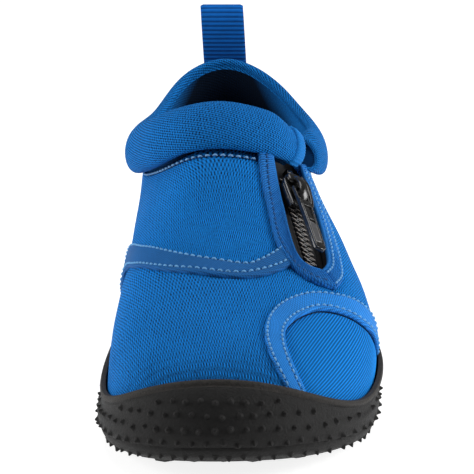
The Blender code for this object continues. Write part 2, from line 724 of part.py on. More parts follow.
def zip_parts(black, plastic, gusset_finish):
    axes = zip_frame()
    foot, across, along, out, length = axes
    place = zip_matrix(foot, across, along, out)
    teeth = int((length - 3) // TOOTH_PITCH)
    comb("zip_teeth_front", -1, 0.8, teeth, length, plastic, place)
    comb("zip_teeth_rear", 1, 0.8 + TOOTH_PITCH / 2, teeth, length, plastic, place)
    zip_tape("zip_tape_front", -1, 12.0, axes, black)
    zip_tape("zip_tape_rear", 1, 11.0, axes, black)
    stop = [(-CHAIN_HALF, -2.3), (CHAIN_HALF, -2.3), (CHAIN_HALF, -0.35), (-CHAIN_HALF, -0.35)]
    prism("zip_bottom_stop", stop, -TOOTH_HALF, TOOTH_HALF, plastic, place)
    for name, side in (("zip_top_stop_front", -1), ("zip_top_stop_rear", 1)):
        clip = [(side * TOOTH_TIP, length + 0.3), (side * CHAIN_HALF, length + 0.3),
                (side * CHAIN_HALF, length + 2.1), (side * TOOTH_TIP, length + 2.1)]
        prism(name, clip, -TOOTH_HALF, TOOTH_HALF, plastic, place)
    gusset(axes, gusset_finish)
    centre = foot + along * SLIDER_REST
    rest = empty("slider_axis", zip_matrix(centre, across, along, out))
    slider(rest.matrix_world.copy(), rest, plastic)
    lift = math.radians(TAB_LIFT)
    low_along = along * math.cos(lift) - out * math.sin(lift)
    low_out = out * math.cos(lift) + along * math.sin(lift)
    pivot_at = centre + out * PIVOT_HEIGHT
    pivot = empty("tab_axis", zip_matrix(pivot_at, across, low_along, low_out), rest)
    pull_tab(pivot, plastic)


# ---------------------------------------------------------------- heel loop

def loop_section():
    """Side outline of the folded webbing: a narrow drop, hollow inside, with a round foot."""
    _, y, z = LOOP_PIVOT
    outer = []
    inner = []
    for i in range(25):
        share = i / 24
        angle = math.pi * (1.5 - 2 * share)
        belly = 0.5 + 0.5 * math.sin(angle)
        half = 1.15 + 4.3 * belly ** 0.8
        height = (LOOP_TOP - z) * 0.5
        outer.append((y + half * math.cos(angle), z + height * (1 + math.sin(angle))))
    for i in range(17):
        angle = math.pi * (-0.5 + 2 * i / 16)
        belly = 0.5 + 0.5 * math.sin(angle)
        half = 0.9 + 3.0 * belly ** 0.8
        bottom, top = z + LOOP_SEWN, LOOP_TOP - WEBBING
        height = (top - bottom) * 0.5
        inner.append((y + half * math.cos(angle), bottom + height + height * math.sin(angle)))
    return outer[:-1], inner[:-1]


def pull_loop(webbing):
    outer, inner = loop_section()
    place = Matrix.Translation(Vector(LOOP_PIVOT) * MM)
    centre = np.array(LOOP_PIVOT, float)
    empty("loop_axis", place)
    low, high = LOOP_X[0] - centre[0], LOOP_X[1] - centre[0]
    grid = [[(x, y - centre[1], z - centre[2]) for y, z in outer] for x in (low, high)]
    loop = lattice("pull_loop", grid, webbing, place=place)
    hole = [[(x, y - centre[1], z - centre[2]) for y, z in inner] for x in (low - 2, high + 2)]
    cutter = lattice("loop_hole", hole, webbing, place=place)
    join(loop, [cutter], "DIFFERENCE")
    rows = []
    for rise in (0.16, 0.3, 0.45, 0.57):
        skin_point = under(collar_skin, HEEL, rise, 0)
        y, z = skin_point[1] + 0.9, skin_point[2]
        rows.append([(LOOP_X[0], y, z), (LOOP_X[1], y, z), (LOOP_X[1], y + 2 * WEBBING, z),
                     (LOOP_X[0], y + 2 * WEBBING, z)])
    lattice("loop_anchor", rows, webbing)


# ---------------------------------------------------------------- assembly

def build():
    blue = material("neoprene_blue", (0.012, 0.125, 0.40), 0.75)
    bright = material("ribbed_blue", (0.015, 0.17, 0.52), 0.6)
    satin = material("seam_tape_blue", (0.03, 0.20, 0.55), 0.45)
    rubber = material("black_rubber", (0.02, 0.02, 0.02), 0.7)
    board = material("insole_board", (0.08, 0.08, 0.09), 0.9)
    foam = material("footbed_foam", (0.02, 0.02, 0.025), 0.9)
    cover = material("footbed_textile", (0.02, 0.09, 0.25), 0.85)
    black = material("zip_tape_black", (0.012, 0.012, 0.012), 0.8)
    plastic = material("zip_plastic_black", (0.015, 0.015, 0.016), 0.3)
    lining = material("gusset_blue", (0.005, 0.03, 0.12), 0.85)
    webbing = material("loop_webbing_blue", (0.004, 0.06, 0.21), 0.7)
    outsole(rubber)
    inside_layer("strobel_board", 7.9, BOARD, board)
    inside_layer("footbed", 8.1, FOOTBED, foam)
    inside_layer("footbed_cover", 8.1, COVER, cover)
    neoprene_panels(blue, bright)
    collar(blue, bright)
    tapes(satin)
    zip_parts(black, plastic, lining)
    pull_loop(webbing)


for old in list(bpy.data.objects):
    bpy.data.objects.remove(old, do_unlink=True)
build()
bpy.context.view_layer.update()
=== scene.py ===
"""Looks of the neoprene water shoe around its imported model.

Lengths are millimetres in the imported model's frame, and every mesh is made in metres.
The toe points along -Y, the lateral side lies along +X and the sole stands on z = 0.
"""

from functools import cached_property
import math

import bmesh
import bpy
import numpy as np
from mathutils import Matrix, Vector
from mathutils.geometry import delaunay_2d_cdt


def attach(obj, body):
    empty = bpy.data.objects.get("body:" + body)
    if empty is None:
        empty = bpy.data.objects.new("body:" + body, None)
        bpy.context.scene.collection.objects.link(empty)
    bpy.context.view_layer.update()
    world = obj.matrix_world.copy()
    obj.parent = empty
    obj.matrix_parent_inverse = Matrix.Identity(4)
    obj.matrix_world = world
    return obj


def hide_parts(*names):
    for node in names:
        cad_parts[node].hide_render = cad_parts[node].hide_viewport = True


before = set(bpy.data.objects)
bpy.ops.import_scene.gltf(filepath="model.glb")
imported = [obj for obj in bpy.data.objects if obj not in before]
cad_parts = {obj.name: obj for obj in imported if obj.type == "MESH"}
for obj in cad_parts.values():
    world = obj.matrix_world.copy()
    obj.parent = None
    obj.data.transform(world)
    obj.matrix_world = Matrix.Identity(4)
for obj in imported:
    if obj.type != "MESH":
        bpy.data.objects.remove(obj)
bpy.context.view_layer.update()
MM = 0.001

# Stations round the foot, counted from the toe through the lateral side to the heel and back.
# Each is: sole outline (x, y) | collar seam (x, y, z) | lower handle (out, up) | upper handle (x, y, z)
STATIONS = (
    ((-7, -135), (-4, 2, 82), (1, 32), (1, 64, 46)),
    ((21, -125), (10, 5, 79), (2, 32), (-8, 58, 43)),
    ((43, -93), (20, 16, 73), (5, 31), (-13, 40, 32)),
    ((47.6, -45), (25, 36, 67), (9.5, 24), (-11, 16, 25)),
    ((43, 12), (24.5, 60, 64), (1.5, 22), (-6, 4, 24)),
    ((36, 68), (25, 84, 65), (0, 22), (-4, 0, 22)),
    ((27, 112), (18, 108, 69), (2, 24), (0, -3, 24)),
    ((-4, 135), (-4, 121, 71), (5, 24), (0, -3, 24)),
    ((-33, 113), (-24, 109, 70), (2, 24), (0, -3, 24)),
    ((-39, 68), (-32, 84, 65), (0, 22), (2, 0, 22)),
    ((-41, 12), (-33.5, 60, 62.5), (-1, 20), (3, 4, 24)),
    ((-45.2, -45), (-31.5, 36, 66), (1, 22), (6, 16, 26)),
    ((-45, -93), (-25, 16, 73), (1.5, 29), (10, 40, 34)),
    ((-32, -125), (-16, 5, 80), (2, 32), (6, 58, 44)),
)
RIM = (
    (-3, 17, 95), (11, 20, 91), (20, 31, 84), (24.5, 50, 78), (26, 72, 76), (21.5, 97, 78),
    (11, 117, 85), (-4.5, 124, 89), (-19, 117, 85), (-26, 97, 79), (-30.5, 72, 78),
    (-31, 50, 81), (-25, 31, 88), (-15, 20, 93.5),
)
COLLAR_BULGE = (6.5, 6.5, 6.5, 8, 7, 3.5, 2.5, 2.5, 2.5, 3, 7, 9, 8.5, 7)
COLLAR_DROOP = 0.45
RAND_HEIGHT = (31.2, 26.6, 17.5, 20, 19, 19, 24, 28, 24, 19, 19, 19, 18.8, 27)
TURN = len(STATIONS)
HEEL = 7
PLAN = np.array([25, 90])

FEATHER_INSET = 3.5
FEATHER_HEIGHT = 9
SPRING_START = -60
SPRING_LENGTH = 75
SPRING_RISE = 7
COVER_TOP = 14.9
COVER_LOW = 14.1
COVER_INSET = 8.1

NEOPRENE = 3.0
COLLAR_WALL = 3.2
COLLAR_TOP = 0.94
FRONT_END = (1.72, 1.98)
REAR_END = (2.28, 2.46)
SEAM_GAP = 0.003
TOP = 1.0

COLLAR_PLUMP = 0.7
COLLAR_SAG = (0, 0, 0.8, 3.2, 1.0, 0, 0, 0, 0, 0, 0, 0, 0, 0)
COLLAR_NIP = 0.18
COLLAR_END_FALL = 1.7
REAR_SQUASH = 0.36
TAB_SKEW = 0.05
COLLAR_CORNER = (0.6, 0.6, 0.6, 1.0, 0.8, 0.4, 0.2, 0.2, 0.2, 0.6, 1.6, 2.6, 2.4, 1.0)

CHAIN_FOOT = (1.56, 0.670, 4.0, 1.0)
CHAIN_HEAD = (1.42, 0.978, 3.2, 2.0)
ZIP_FACE = (1.53, 0.853)
TOOTH_PITCH = 2.6
CHAIN_HALF = 3.0
SLIDER_REST = 39.0
PIVOT_HEIGHT = 6.3
TAB_LENGTH = 36
TAB_HALF = 3.1
TAB_LIFT = 4
TAPE_SUNK = 1.1

LOOP_X = (-12.1, 3.7)
LOOP_PIVOT = (-4, 129.0, 83.2)
LOOP_TOP = 109.4
WEBBING = 1.3

STITCH_PITCH = 2.7
STITCH_LENGTH = 2.05
THREAD = 0.36
# Size and profile of the dark discs of painted shade put in the stitch hole between stitches.
HOLE_SHADE_RADIUS = 0.58
HOLE_SHADE_SHAPE = ((1.0, -0.45), (1.0, -0.12), (0.6, -0.03))
RIB_PITCH = 0.93
LOOP_RIB = 1.6
LADDER_PITCH = 1.05
LADDER_RISE = 0.2
SOLE_FLOOR = 8.7
RAND_GAP = 0.7
RAND_WALL = 1.4


# ---------------------------------------------------------------- curves and surfaces

def ring(values, q):
    """Closed smooth curve through the values, one for each station, at station number q."""
    v = np.asarray(values, float)
    n = len(v)
    system = 4 * np.eye(n) + np.roll(np.eye(n), 1, 1) + np.roll(np.eye(n), -1, 1)
    slope = np.linalg.solve(system, 3 * (np.roll(v, -1, 0) - np.roll(v, 1, 0)))
    q = np.asarray(q, float) % n
    low = np.floor(q).astype(int) % n
    high = (low + 1) % n
    f = (q - np.floor(q)).reshape(q.shape + (1,) * (v.ndim - 1))
    start = v[low] * (2 * f**3 - 3 * f**2 + 1) + slope[low] * (f**3 - 2 * f**2 + f)
    return start + v[high] * (3 * f**2 - 2 * f**3) + slope[high] * (f**3 - f**2)


def column(index):
    return [station[index] for station in STATIONS]


def spring(y):
    """Height by which the toe lifts off the ground."""
    return SPRING_RISE * np.clip((SPRING_START - np.asarray(y)) / SPRING_LENGTH, 0, None) ** 2


def unit(vectors):
    """Vectors of length one, along the last axis."""
    return vectors / np.maximum(np.linalg.norm(vectors, axis=-1, keepdims=True), 1e-12)


def sideways(curve, q):
    """Level unit vector that points out of a closed curve of stations."""
    along = ring(curve, np.asarray(q) + 1e-3) - ring(curve, np.asarray(q) - 1e-3)
    return unit(np.stack([along[..., 1], -along[..., 0]], -1))


def outline(q, inset=0.0, height=0.0):
    """Point of the sole's outline, moved inwards and lifted off the sprung ground."""
    flat = ring(column(0), q) - sideways(column(0), q) * inset
    return np.concatenate([flat, (spring(flat[..., 1]) + height)[..., None]], -1)


def bezier(a, b, c, d, t):
    t = t[..., None]
    return a * (1 - t) ** 3 + 3 * b * t * (1 - t) ** 2 + 3 * c * t * t * (1 - t) + d * t**3


def upper_skin(q, t):
    """Outer face of the upper: t runs from the feather edge, 0, to the collar seam, 1."""
    q, t = np.broadcast_arrays(np.asarray(q, float), np.asarray(t, float))
    foot = outline(q, FEATHER_INSET, FEATHER_HEIGHT)
    seam = ring(column(1), q)
    low = ring(column(2), q)
    lean = np.concatenate([sideways(column(0), q) * low[..., :1], low[..., 1:]], -1)
    return bezier(foot, foot + lean, seam - ring(column(3), q), seam, t)


def collar_skin(q, s):
    """Outer face of the padded collar: s runs from its seam, 0, to its rim, 1."""
    q, s = np.broadcast_arrays(np.asarray(q, float), np.asarray(s, float))
    seam = ring(column(1), q)
    rim = ring(RIM, q)
    bulge = ring(COLLAR_BULGE, q)[..., None]
    out = np.concatenate([sideways(column(1), q), np.zeros(q.shape + (1,))], -1) * bulge
    droop = bulge * np.array([0, 0, COLLAR_DROOP])
    rise = rim - seam
    return bezier(seam, seam + out - droop - 0.05 * rise, rim + out - 0.1 * rise, rim, s)


def frame_at(skin, q, t):
    """Tangents and outward normal of a skin."""
    step = 1e-3
    along = (skin(q + step, t) - skin(q - step, t)) / (2 * step)
    up = (skin(q, t + step) - skin(q, t - step)) / (2 * step)
    return along, up, unit(np.cross(along, up))


def under(skin, q, t, depth):
    """Point at a depth below a skin. A negative depth stands proud of it."""
    q, t = np.broadcast_arrays(np.asarray(q, float), np.asarray(t, float))
    depth = np.asarray(depth, float)[..., None]
    return skin(q, t) - frame_at(skin, q, t)[2] * depth


def laid(spots, depth):
    """Points at a depth under the upper, for (q, t) spots."""
    return under(upper_skin, spots[..., 0], spots[..., 1], depth)


def upper_line(curve, height=0.0):
    """Points at a height over the upper along a (q, t) curve, and the upper's normals there."""
    return laid(curve, -np.asarray(height)), frame_at(upper_skin, curve[:, 0], curve[:, 1])[2]


def lengths(points):
    """Distance run along a polyline at each of its points."""
    return np.concatenate([[0], np.cumsum(np.linalg.norm(np.diff(points, axis=0), axis=1))])


def spread(curve, count, scale=1):
    """Even samples of a polyline, by its length in scaled coordinates."""
    run = lengths(curve * scale)
    even = np.linspace(0, run[-1], count)
    return np.stack([np.interp(even, run, values) for values in curve.T], -1)


def rounded(points, steps):
    """Dense samples of a smooth open curve through points."""
    p = np.asarray(points, float)
    ends = np.concatenate([[2 * p[0] - p[1]], p, [2 * p[-1] - p[-2]]])
    out = []
    for a, b, c, d in zip(ends, ends[1:], ends[2:], ends[3:]):
        for f in np.linspace(0, 1, steps, endpoint=False):
            out.append(0.5 * (2 * b + (c - a) * f + (2 * a - 5 * b + 4 * c - d) * f**2
                              + (3 * b - a - 3 * c + d) * f**3))
    return np.array(out + [p[-1]])


def smooth(points, count):
    """Even samples of a smooth open curve through (q, t) points."""
    return spread(rounded(points, 24), count, PLAN)


def beside(curve, distance):
    """A curve on the upper moved sideways over the skin, to its left when positive."""
    q, t = curve.T
    along, up, normal = frame_at(upper_skin, q, t)
    side = unit(np.cross(normal, np.gradient(upper_skin(q, t), axis=0)))
    return np.array([spot + np.linalg.lstsq(np.stack([a, b], 1), s * distance, rcond=None)[0]
                     for spot, a, b, s in zip(curve, along, up, side)])


def level(q_from, q_to, t, count):
    return np.stack([np.linspace(q_from, q_to, count), np.full(count, float(t))], -1)


def upright(q, t_from, t_to, count):
    return np.stack([np.full(count, float(q)), np.linspace(t_from, t_to, count)], -1)


def ease(x):
    """Smooth step from 0 to 1."""
    x = np.clip(x, 0, 1)
    return x * x * (3 - 2 * x)


def polyline_distance(spots, line):
    """Shortest distance from each spot to a polyline, all in plan millimetres."""
    best = np.full(len(spots), 1e9)
    for a, b in zip(line[:-1], line[1:]):
        run = b - a
        share = np.clip(((spots - a) @ run) / max(run @ run, 1e-9), 0, 1)
        gap = spots - (a + share[:, None] * run)
        best = np.minimum(best, np.sqrt((gap**2).sum(1)))
    return best


def inside_outline(spots, border):
    ahead = np.roll(border, -1, 0)
    count = np.zeros(len(spots), int)
    for a, b in zip(border, ahead):
        crosses = (a[1] > spots[:, 1]) != (b[1] > spots[:, 1])
        rise = b[1] - a[1] if abs(b[1] - a[1]) > 1e-12 else 1.0
        at = a[0] + (spots[:, 1] - a[1]) * (b[0] - a[0]) / rise
        count += crosses & (spots[:, 0] < at)
    return count % 2 == 1


def triangulated(border, spacing, turn=0.0, stretch=1.0, scale=PLAN, rings=(0.5, 1.2)):
    """Triangles over an outline, with rows of points close to its border and a lattice inside.

    The lattice is turned by an angle, and its points lie stretch times further apart along it."""
    plan = np.asarray(border, float) * scale
    tangent = np.roll(plan, -1, 0) - np.roll(plan, 1, 0)
    side = np.stack([-tangent[:, 1], tangent[:, 0]], -1)
    side = unit(side)
    closed = np.concatenate([plan, plan[:1]])
    area = 0.5 * np.sum(closed[:-1, 0] * closed[1:, 1] - closed[1:, 0] * closed[:-1, 1])
    side *= np.sign(area)
    found = []
    for distance in rings:
        spots = plan + side * distance
        clear = polyline_distance(spots, closed) > 0.9 * distance
        found.append(spots[clear & inside_outline(spots, plan)])
    axis = np.array([math.cos(turn), math.sin(turn)])
    cross = np.array([-axis[1], axis[0]])
    middle = plan.mean(0)
    reach = np.abs(plan - middle).sum(1).max()
    rows = np.arange(-reach, reach, spacing * (0.87 if stretch == 1.0 else 1.0))
    marks = np.arange(-reach, reach, spacing * stretch)
    grid_a, grid_b = np.meshgrid(marks, rows)
    grid_a = grid_a + (np.arange(len(rows))[:, None] % 2) * spacing * stretch * 0.5
    spots = middle + grid_a.reshape(-1, 1) * axis + grid_b.reshape(-1, 1) * cross
    spots = spots[inside_outline(spots, plan)]
    margin = rings[-1] + 0.45 * spacing if rings else 0.5 * spacing
    found.append(spots[polyline_distance(spots, closed) > margin])
    spots = np.concatenate(found)
    points = [Vector(p) for p in plan] + [Vector(p) for p in spots]
    result = delaunay_2d_cdt(points, [], [list(range(len(plan)))], 1, 1e-7)
    made = np.array([tuple(p) for p in result[0]])
    return made / scale, made, [tuple(f) for f in result[2]], closed


def cloth_map(points, triangles, along):
    """Across and along distances on a sheet in millimetres, its threads following a direction."""
    tri = np.asarray(triangles)
    a, b, c = points[tri[:, 0]], points[tri[:, 1]], points[tri[:, 2]]
    face_normal = np.cross(b - a, c - a)
    normal = np.zeros_like(points)
    for k in range(3):
        for axis in range(3):
            normal[:, axis] += np.bincount(tri[:, k], face_normal[:, axis], len(points))
    normal = unit(normal)
    along = np.asarray(along, float)
    warp = along - normal * (normal @ along if along.ndim == 1 else (normal * along).sum(1))[:, None]
    warp /= np.maximum(np.linalg.norm(warp, axis=1, keepdims=True), 1e-6)
    weft = np.cross(warp, normal)
    pairs = np.sort(np.concatenate([tri[:, [0, 1]], tri[:, [1, 2]], tri[:, [2, 0]]]), axis=1)
    pairs = np.unique(pairs, axis=0)
    i, j = pairs[:, 0], pairs[:, 1]
    step = points[j] - points[i]
    size = len(points)
    degree = np.bincount(i, minlength=size) + np.bincount(j, minlength=size) + 1e-6

    def laplacian(x):
        gap = x[j] - x[i]
        return np.bincount(j, gap, size) - np.bincount(i, gap, size) + 1e-6 * x

    fields = []
    for direction in (weft, warp):
        wanted = (0.5 * (direction[i] + direction[j]) * step).sum(1)
        rest = np.bincount(j, wanted, size) - np.bincount(i, wanted, size)
        x = np.zeros(size)
        eased = rest / degree
        heading = eased.copy()
        power = rest @ eased
        for _ in range(400):
            pushed = laplacian(heading)
            gain = power / max(heading @ pushed, 1e-30)
            x += gain * heading
            rest = rest - gain * pushed
            eased = rest / degree
            now = rest @ eased
            if now < 1e-10:
                break
            heading = eased + heading * (now / power)
            power = now
        fields.append(x)
    return np.stack(fields, -1)


# ---------------------------------------------------------------- meshes

def piece(name, points, faces, finishes, slot, body="shoe", coords=None, which=None, sharp=50,
          stands=True):
    """One piece of the object from millimetre points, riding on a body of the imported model.

    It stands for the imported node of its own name, unless told that it stands for none."""
    points = np.asarray(points, float).reshape(-1, 3)
    label = name + "_skin" if stands else name
    mesh = bpy.data.meshes.new(label)
    mesh.from_pydata((points * MM).tolist(), [], [tuple(map(int, f)) for f in faces])
    for finish in finishes if isinstance(finishes, (list, tuple)) else [finishes]:
        mesh.materials.append(finish)
    if which is not None:
        mesh.polygons.foreach_set("material_index", np.asarray(which, np.int32))
    layer = mesh.uv_layers.new(name="cloth")
    corner = np.zeros(len(mesh.loops), np.int32)
    mesh.loops.foreach_get("vertex_index", corner)
    layer.data.foreach_set("uv", np.resize(coords, (len(points), 2)).astype(np.float32)[corner].ravel())
    work = bmesh.new()
    work.from_mesh(mesh)
    bmesh.ops.recalc_face_normals(work, faces=work.faces)
    work.to_mesh(mesh)
    work.free()
    mesh.shade_smooth()
    mesh.set_sharp_from_angle(angle=math.radians(sharp))
    made = bpy.data.objects.new(label, mesh)
    bpy.context.scene.collection.objects.link(made)
    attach(made, body)
    if stands:
        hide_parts(name)
    return made


class Bag:
    """Closed shapes collected for one piece, some of them made in axes of their own."""

    def __init__(self, axes=None, origin=None):
        self.axes, self.origin = axes, origin
        self.points, self.faces, self.coords, self.which = [], [], [], []
        self.count = 0

    def add(self, points, faces, coords=None, which=0):
        points = np.asarray(points, float).reshape(-1, 3)
        self.points.append(points)
        self.faces += [tuple(self.count + k for k in f) for f in faces]
        self.which += list(which) if np.iterable(which) else [which] * len(faces)
        self.coords.append(np.zeros((len(points), 2)) if coords is None else np.asarray(coords))
        self.count += len(points)

    def prism(self, border, low, high, bevel, steps=3, which=0):
        points, faces = rounded_prism(border, low, high, bevel, steps)
        self.add(placed(points, self.axes, self.origin), faces, points[:, :2], which)

    def highlight_line(self, corners, radius=0.13):
        """Painted highlight: a bright line along a moulded edge, standing in for light caught there."""
        path = spread(placed(corners, self.axes, self.origin), 4 * len(corners))
        self.add(*tube_path(path, radius, 6), which=2)

    def piece(self, name, finishes, slot, **more):
        return piece(name, np.concatenate(self.points), self.faces, finishes, slot,
                     coords=np.concatenate(self.coords), which=self.which, **more)


def ring_faces(rows, size, caps=True):
    """Faces of a tube whose rows are closed sections."""
    faces = []
    for i in range(rows - 1):
        for j in range(size):
            k = (j + 1) % size
            faces.append((i * size + j, i * size + k, (i + 1) * size + k, (i + 1) * size + j))
    if caps:
        faces.append(tuple(range(size)))
        faces.append(tuple((rows - 1) * size + j for j in reversed(range(size))))
    return faces


def doubled(outer, inner, triangles):
    """Points and faces of a closed body from one triangulation used for both sides of a sheet."""
    count = outer.size // 3
    faces = list(triangles) + [tuple(count + k for k in reversed(f)) for f in triangles]
    edges = {(f[k], f[(k + 1) % len(f)]) for f in triangles for k in range(len(f))}
    faces += [(b, a, count + a, count + b) for a, b in edges if (b, a) not in edges]
    return np.concatenate([outer, inner]).reshape(-1, 3), faces


def grid_faces(rows, columns):
    faces = []
    for i in range(rows - 1):
        for j in range(columns - 1):
            a = i * columns + j
            faces.append((a, a + 1, a + columns + 1, a + columns))
    return faces


def circle(sides, first, second):
    """Spokes of a regular polygon in the plane of two vectors."""
    angles = np.arange(sides) * math.tau / sides
    return np.cos(angles)[:, None] * first + np.sin(angles)[:, None] * second


def tube_path(points, radius, sides=8):
    """Tube with narrowed ends along a polyline."""
    points = np.asarray(points, float)
    ahead = unit(np.gradient(points, axis=0))
    helper = (0.0, 0.0, 1.0) if abs(ahead[0][2]) < 0.9 else (1.0, 0.0, 0.0)
    first = unit(np.cross(ahead, helper))
    size = np.full(len(points), float(radius))
    size[0] = size[-1] = 0.45 * radius
    rings = [p + r * circle(sides, a, b) for p, r, a, b in zip(points, size, first, np.cross(ahead, first))]
    return np.concatenate(rings), ring_faces(len(points), sides)


def along_line(at, run, values):
    return np.stack([np.interp(at, run, column_values) for column_values in values.T], -1)


def stitches(bag, points, normals, which=0, shade_dots=True):
    """Thread stitches along a line: each is a small bowed lozenge whose ends dip into the cloth. Unless told
    not to, a small dark disc in each stitch hole between stitches is painted shade.
    """
    run = lengths(points)
    sides = 6
    angles = np.arange(sides) * math.tau / sides
    shares = np.linspace(-1, 1, 6)
    bow = THREAD * (0.75 - 1.5 * shares**2)
    girth = THREAD * np.sqrt(np.clip(1.03 - shares**4, 0.03, 1))
    for middle in np.arange(0.5 * STITCH_PITCH, run[-1] - 0.3 * STITCH_PITCH, STITCH_PITCH):
        at = np.clip(middle + shares * 0.5 * STITCH_LENGTH, 0, run[-1])
        centre = along_line(at, run, points)
        up = along_line(at, run, normals)
        ahead = unit(centre[-1] - centre[0])
        side = unit(np.cross(ahead, up))
        rings = [c + u * b + r * circle(sides, s, u) for c, u, b, r, s in zip(centre, up, bow, girth, side)]
        coords = np.stack([np.tile(angles * THREAD, len(shares)), np.repeat(at, sides)], -1)
        bag.add(np.concatenate(rings), ring_faces(len(shares), sides), coords, which)
        # Painted shade: a dark disc in the gap between stitches stands in for the shade in the stitch hole.
        if shade_dots:
            gap = min(middle + 0.5 * STITCH_PITCH, run[-1])
            spot, rise = along_line(gap, run, points), along_line(gap, run, normals)
            disc = [spot + rise * h + HOLE_SHADE_RADIUS * size * circle(sides, ahead, 0.75 * side[2])
                    for size, h in HOLE_SHADE_SHAPE]
            bag.add(np.concatenate(disc), ring_faces(len(disc), sides), which=1)


# ---------------------------------------------------------------- finishes

class Finish:
    """A node material, built step by step. Distances in it are millimetres."""

    def __init__(self, name, roughness=0.7, specular=0.4):
        self.material = bpy.data.materials.new(name)
        self.material.use_nodes = True
        self.tree = self.material.node_tree
        self.set("Roughness", roughness)
        self.set("Specular IOR Level", specular)

    def node(self, kind):
        return self.tree.nodes.new(kind)

    def set(self, socket, value):
        self.put(value, self.tree.nodes["Principled BSDF"].inputs[socket])

    def put(self, value, socket):
        if isinstance(value, (int, float)):
            socket.default_value = value
        elif isinstance(value, tuple):
            socket.default_value = (*value, 1)
        else:
            self.tree.links.new(value, socket)

    def math(self, operation, *values):
        made = self.node("ShaderNodeMath")
        made.operation = operation
        for value, socket in zip(values, made.inputs):
            self.put(value, socket)
        return made.outputs[0]

    def times(self, a, b):
        return self.math("MULTIPLY", a, b)

    def plus(self, a, b):
        return self.math("ADD", a, b)

    def line(self, a, slope, start):
        return self.math("MULTIPLY_ADD", a, slope, start)

    def parts(self, vector):
        split = self.node("ShaderNodeSeparateXYZ")
        self.put(vector, split.inputs[0])
        return tuple(split.outputs)

    @cached_property
    def cloth(self):
        """Across and along distances on the cloth."""
        source = self.node("ShaderNodeUVMap")
        source.uv_map = "cloth"
        return self.parts(source.outputs[0])[:2]

    @cached_property
    def place(self):
        """The point itself, in millimetres."""
        scale = self.node("ShaderNodeVectorMath")
        scale.operation = "SCALE"
        scale.inputs["Scale"].default_value = 1 / MM
        self.put(self.node("ShaderNodeTexCoord").outputs["Object"], scale.inputs[0])
        return scale.outputs[0]

    @cached_property
    def axes(self):
        """The point's x, y and z in millimetres."""
        return self.parts(self.place)

    def noise(self, size, detail=2.0, roughness=0.5):
        made = self.node("ShaderNodeTexNoise")
        for name, value in (("Scale", 1 / size), ("Detail", detail), ("Roughness", roughness),
                            ("Vector", self.place)):
            self.put(value, made.inputs[name])
        return made.outputs["Fac"]

    def wave(self, distance, pitch):
        """Cosine of a distance, -1 to 1, one turn for each pitch."""
        return self.math("COSINE", self.line(distance, math.tau / pitch, 0.0))

    def spread(self, value, *limits):
        """A value mapped from its low and high to two others, and kept between them."""
        made = self.node("ShaderNodeMapRange")
        for number, socket in zip((value, *limits), made.inputs):
            self.put(number, socket)
        return made.outputs[0]

    def done(self, tone, colour, over, height, relief, sheen=None):
        """Colour times a tone that may reach some way over 1, relief in millimetres, and nap."""
        mix = self.node("ShaderNodeMix")
        mix.data_type = "RGBA"
        for value, socket in ((self.times(tone, 1 / over), 0), ((0, 0, 0), 6), (shade(colour, over), 7)):
            self.put(value, mix.inputs[socket])
        self.set("Base Color", mix.outputs[2])
        bump = self.node("ShaderNodeBump")
        bump.inputs["Distance"].default_value = relief * MM
        bump.inputs["Strength"].default_value = 1.0
        self.put(height, bump.inputs["Height"])
        self.set("Normal", bump.outputs[0])
        for socket, value in zip(("Sheen Weight", "Sheen Roughness", "Sheen Tint"), sheen or ()):
            self.set(socket, value)
        return self.material


def shade(colour, factor):
    return tuple(min(1.0, c * factor) for c in colour)


NEOPRENE_BLUE = (0.0028, 0.131, 0.425)
COLLAR_BLUE = (0.0036, 0.112, 0.365)
PATCH_BLUE = (0.0030, 0.190, 0.600)
TAPE_BLUE = (0.012, 0.165, 0.520)
THREAD_BLUE = (0.160, 0.440, 0.820)
SEAM_THREAD = (0.180, 0.400, 0.700)
# Painted shade: the near-black blue of the discs in the stitch hole between stitches.
HOLE_SHADE_BLUE = (0.0005, 0.014, 0.075)
LOOP_BLUE = (0.0030, 0.105, 0.420)
# The lining's own blue, made darker than the collar's blue as painted shade for the inside of the shoe.
LINING_BLUE = (0.0020, 0.075, 0.270)
RUBBER_BLACK = (0.0042, 0.0039, 0.0038)


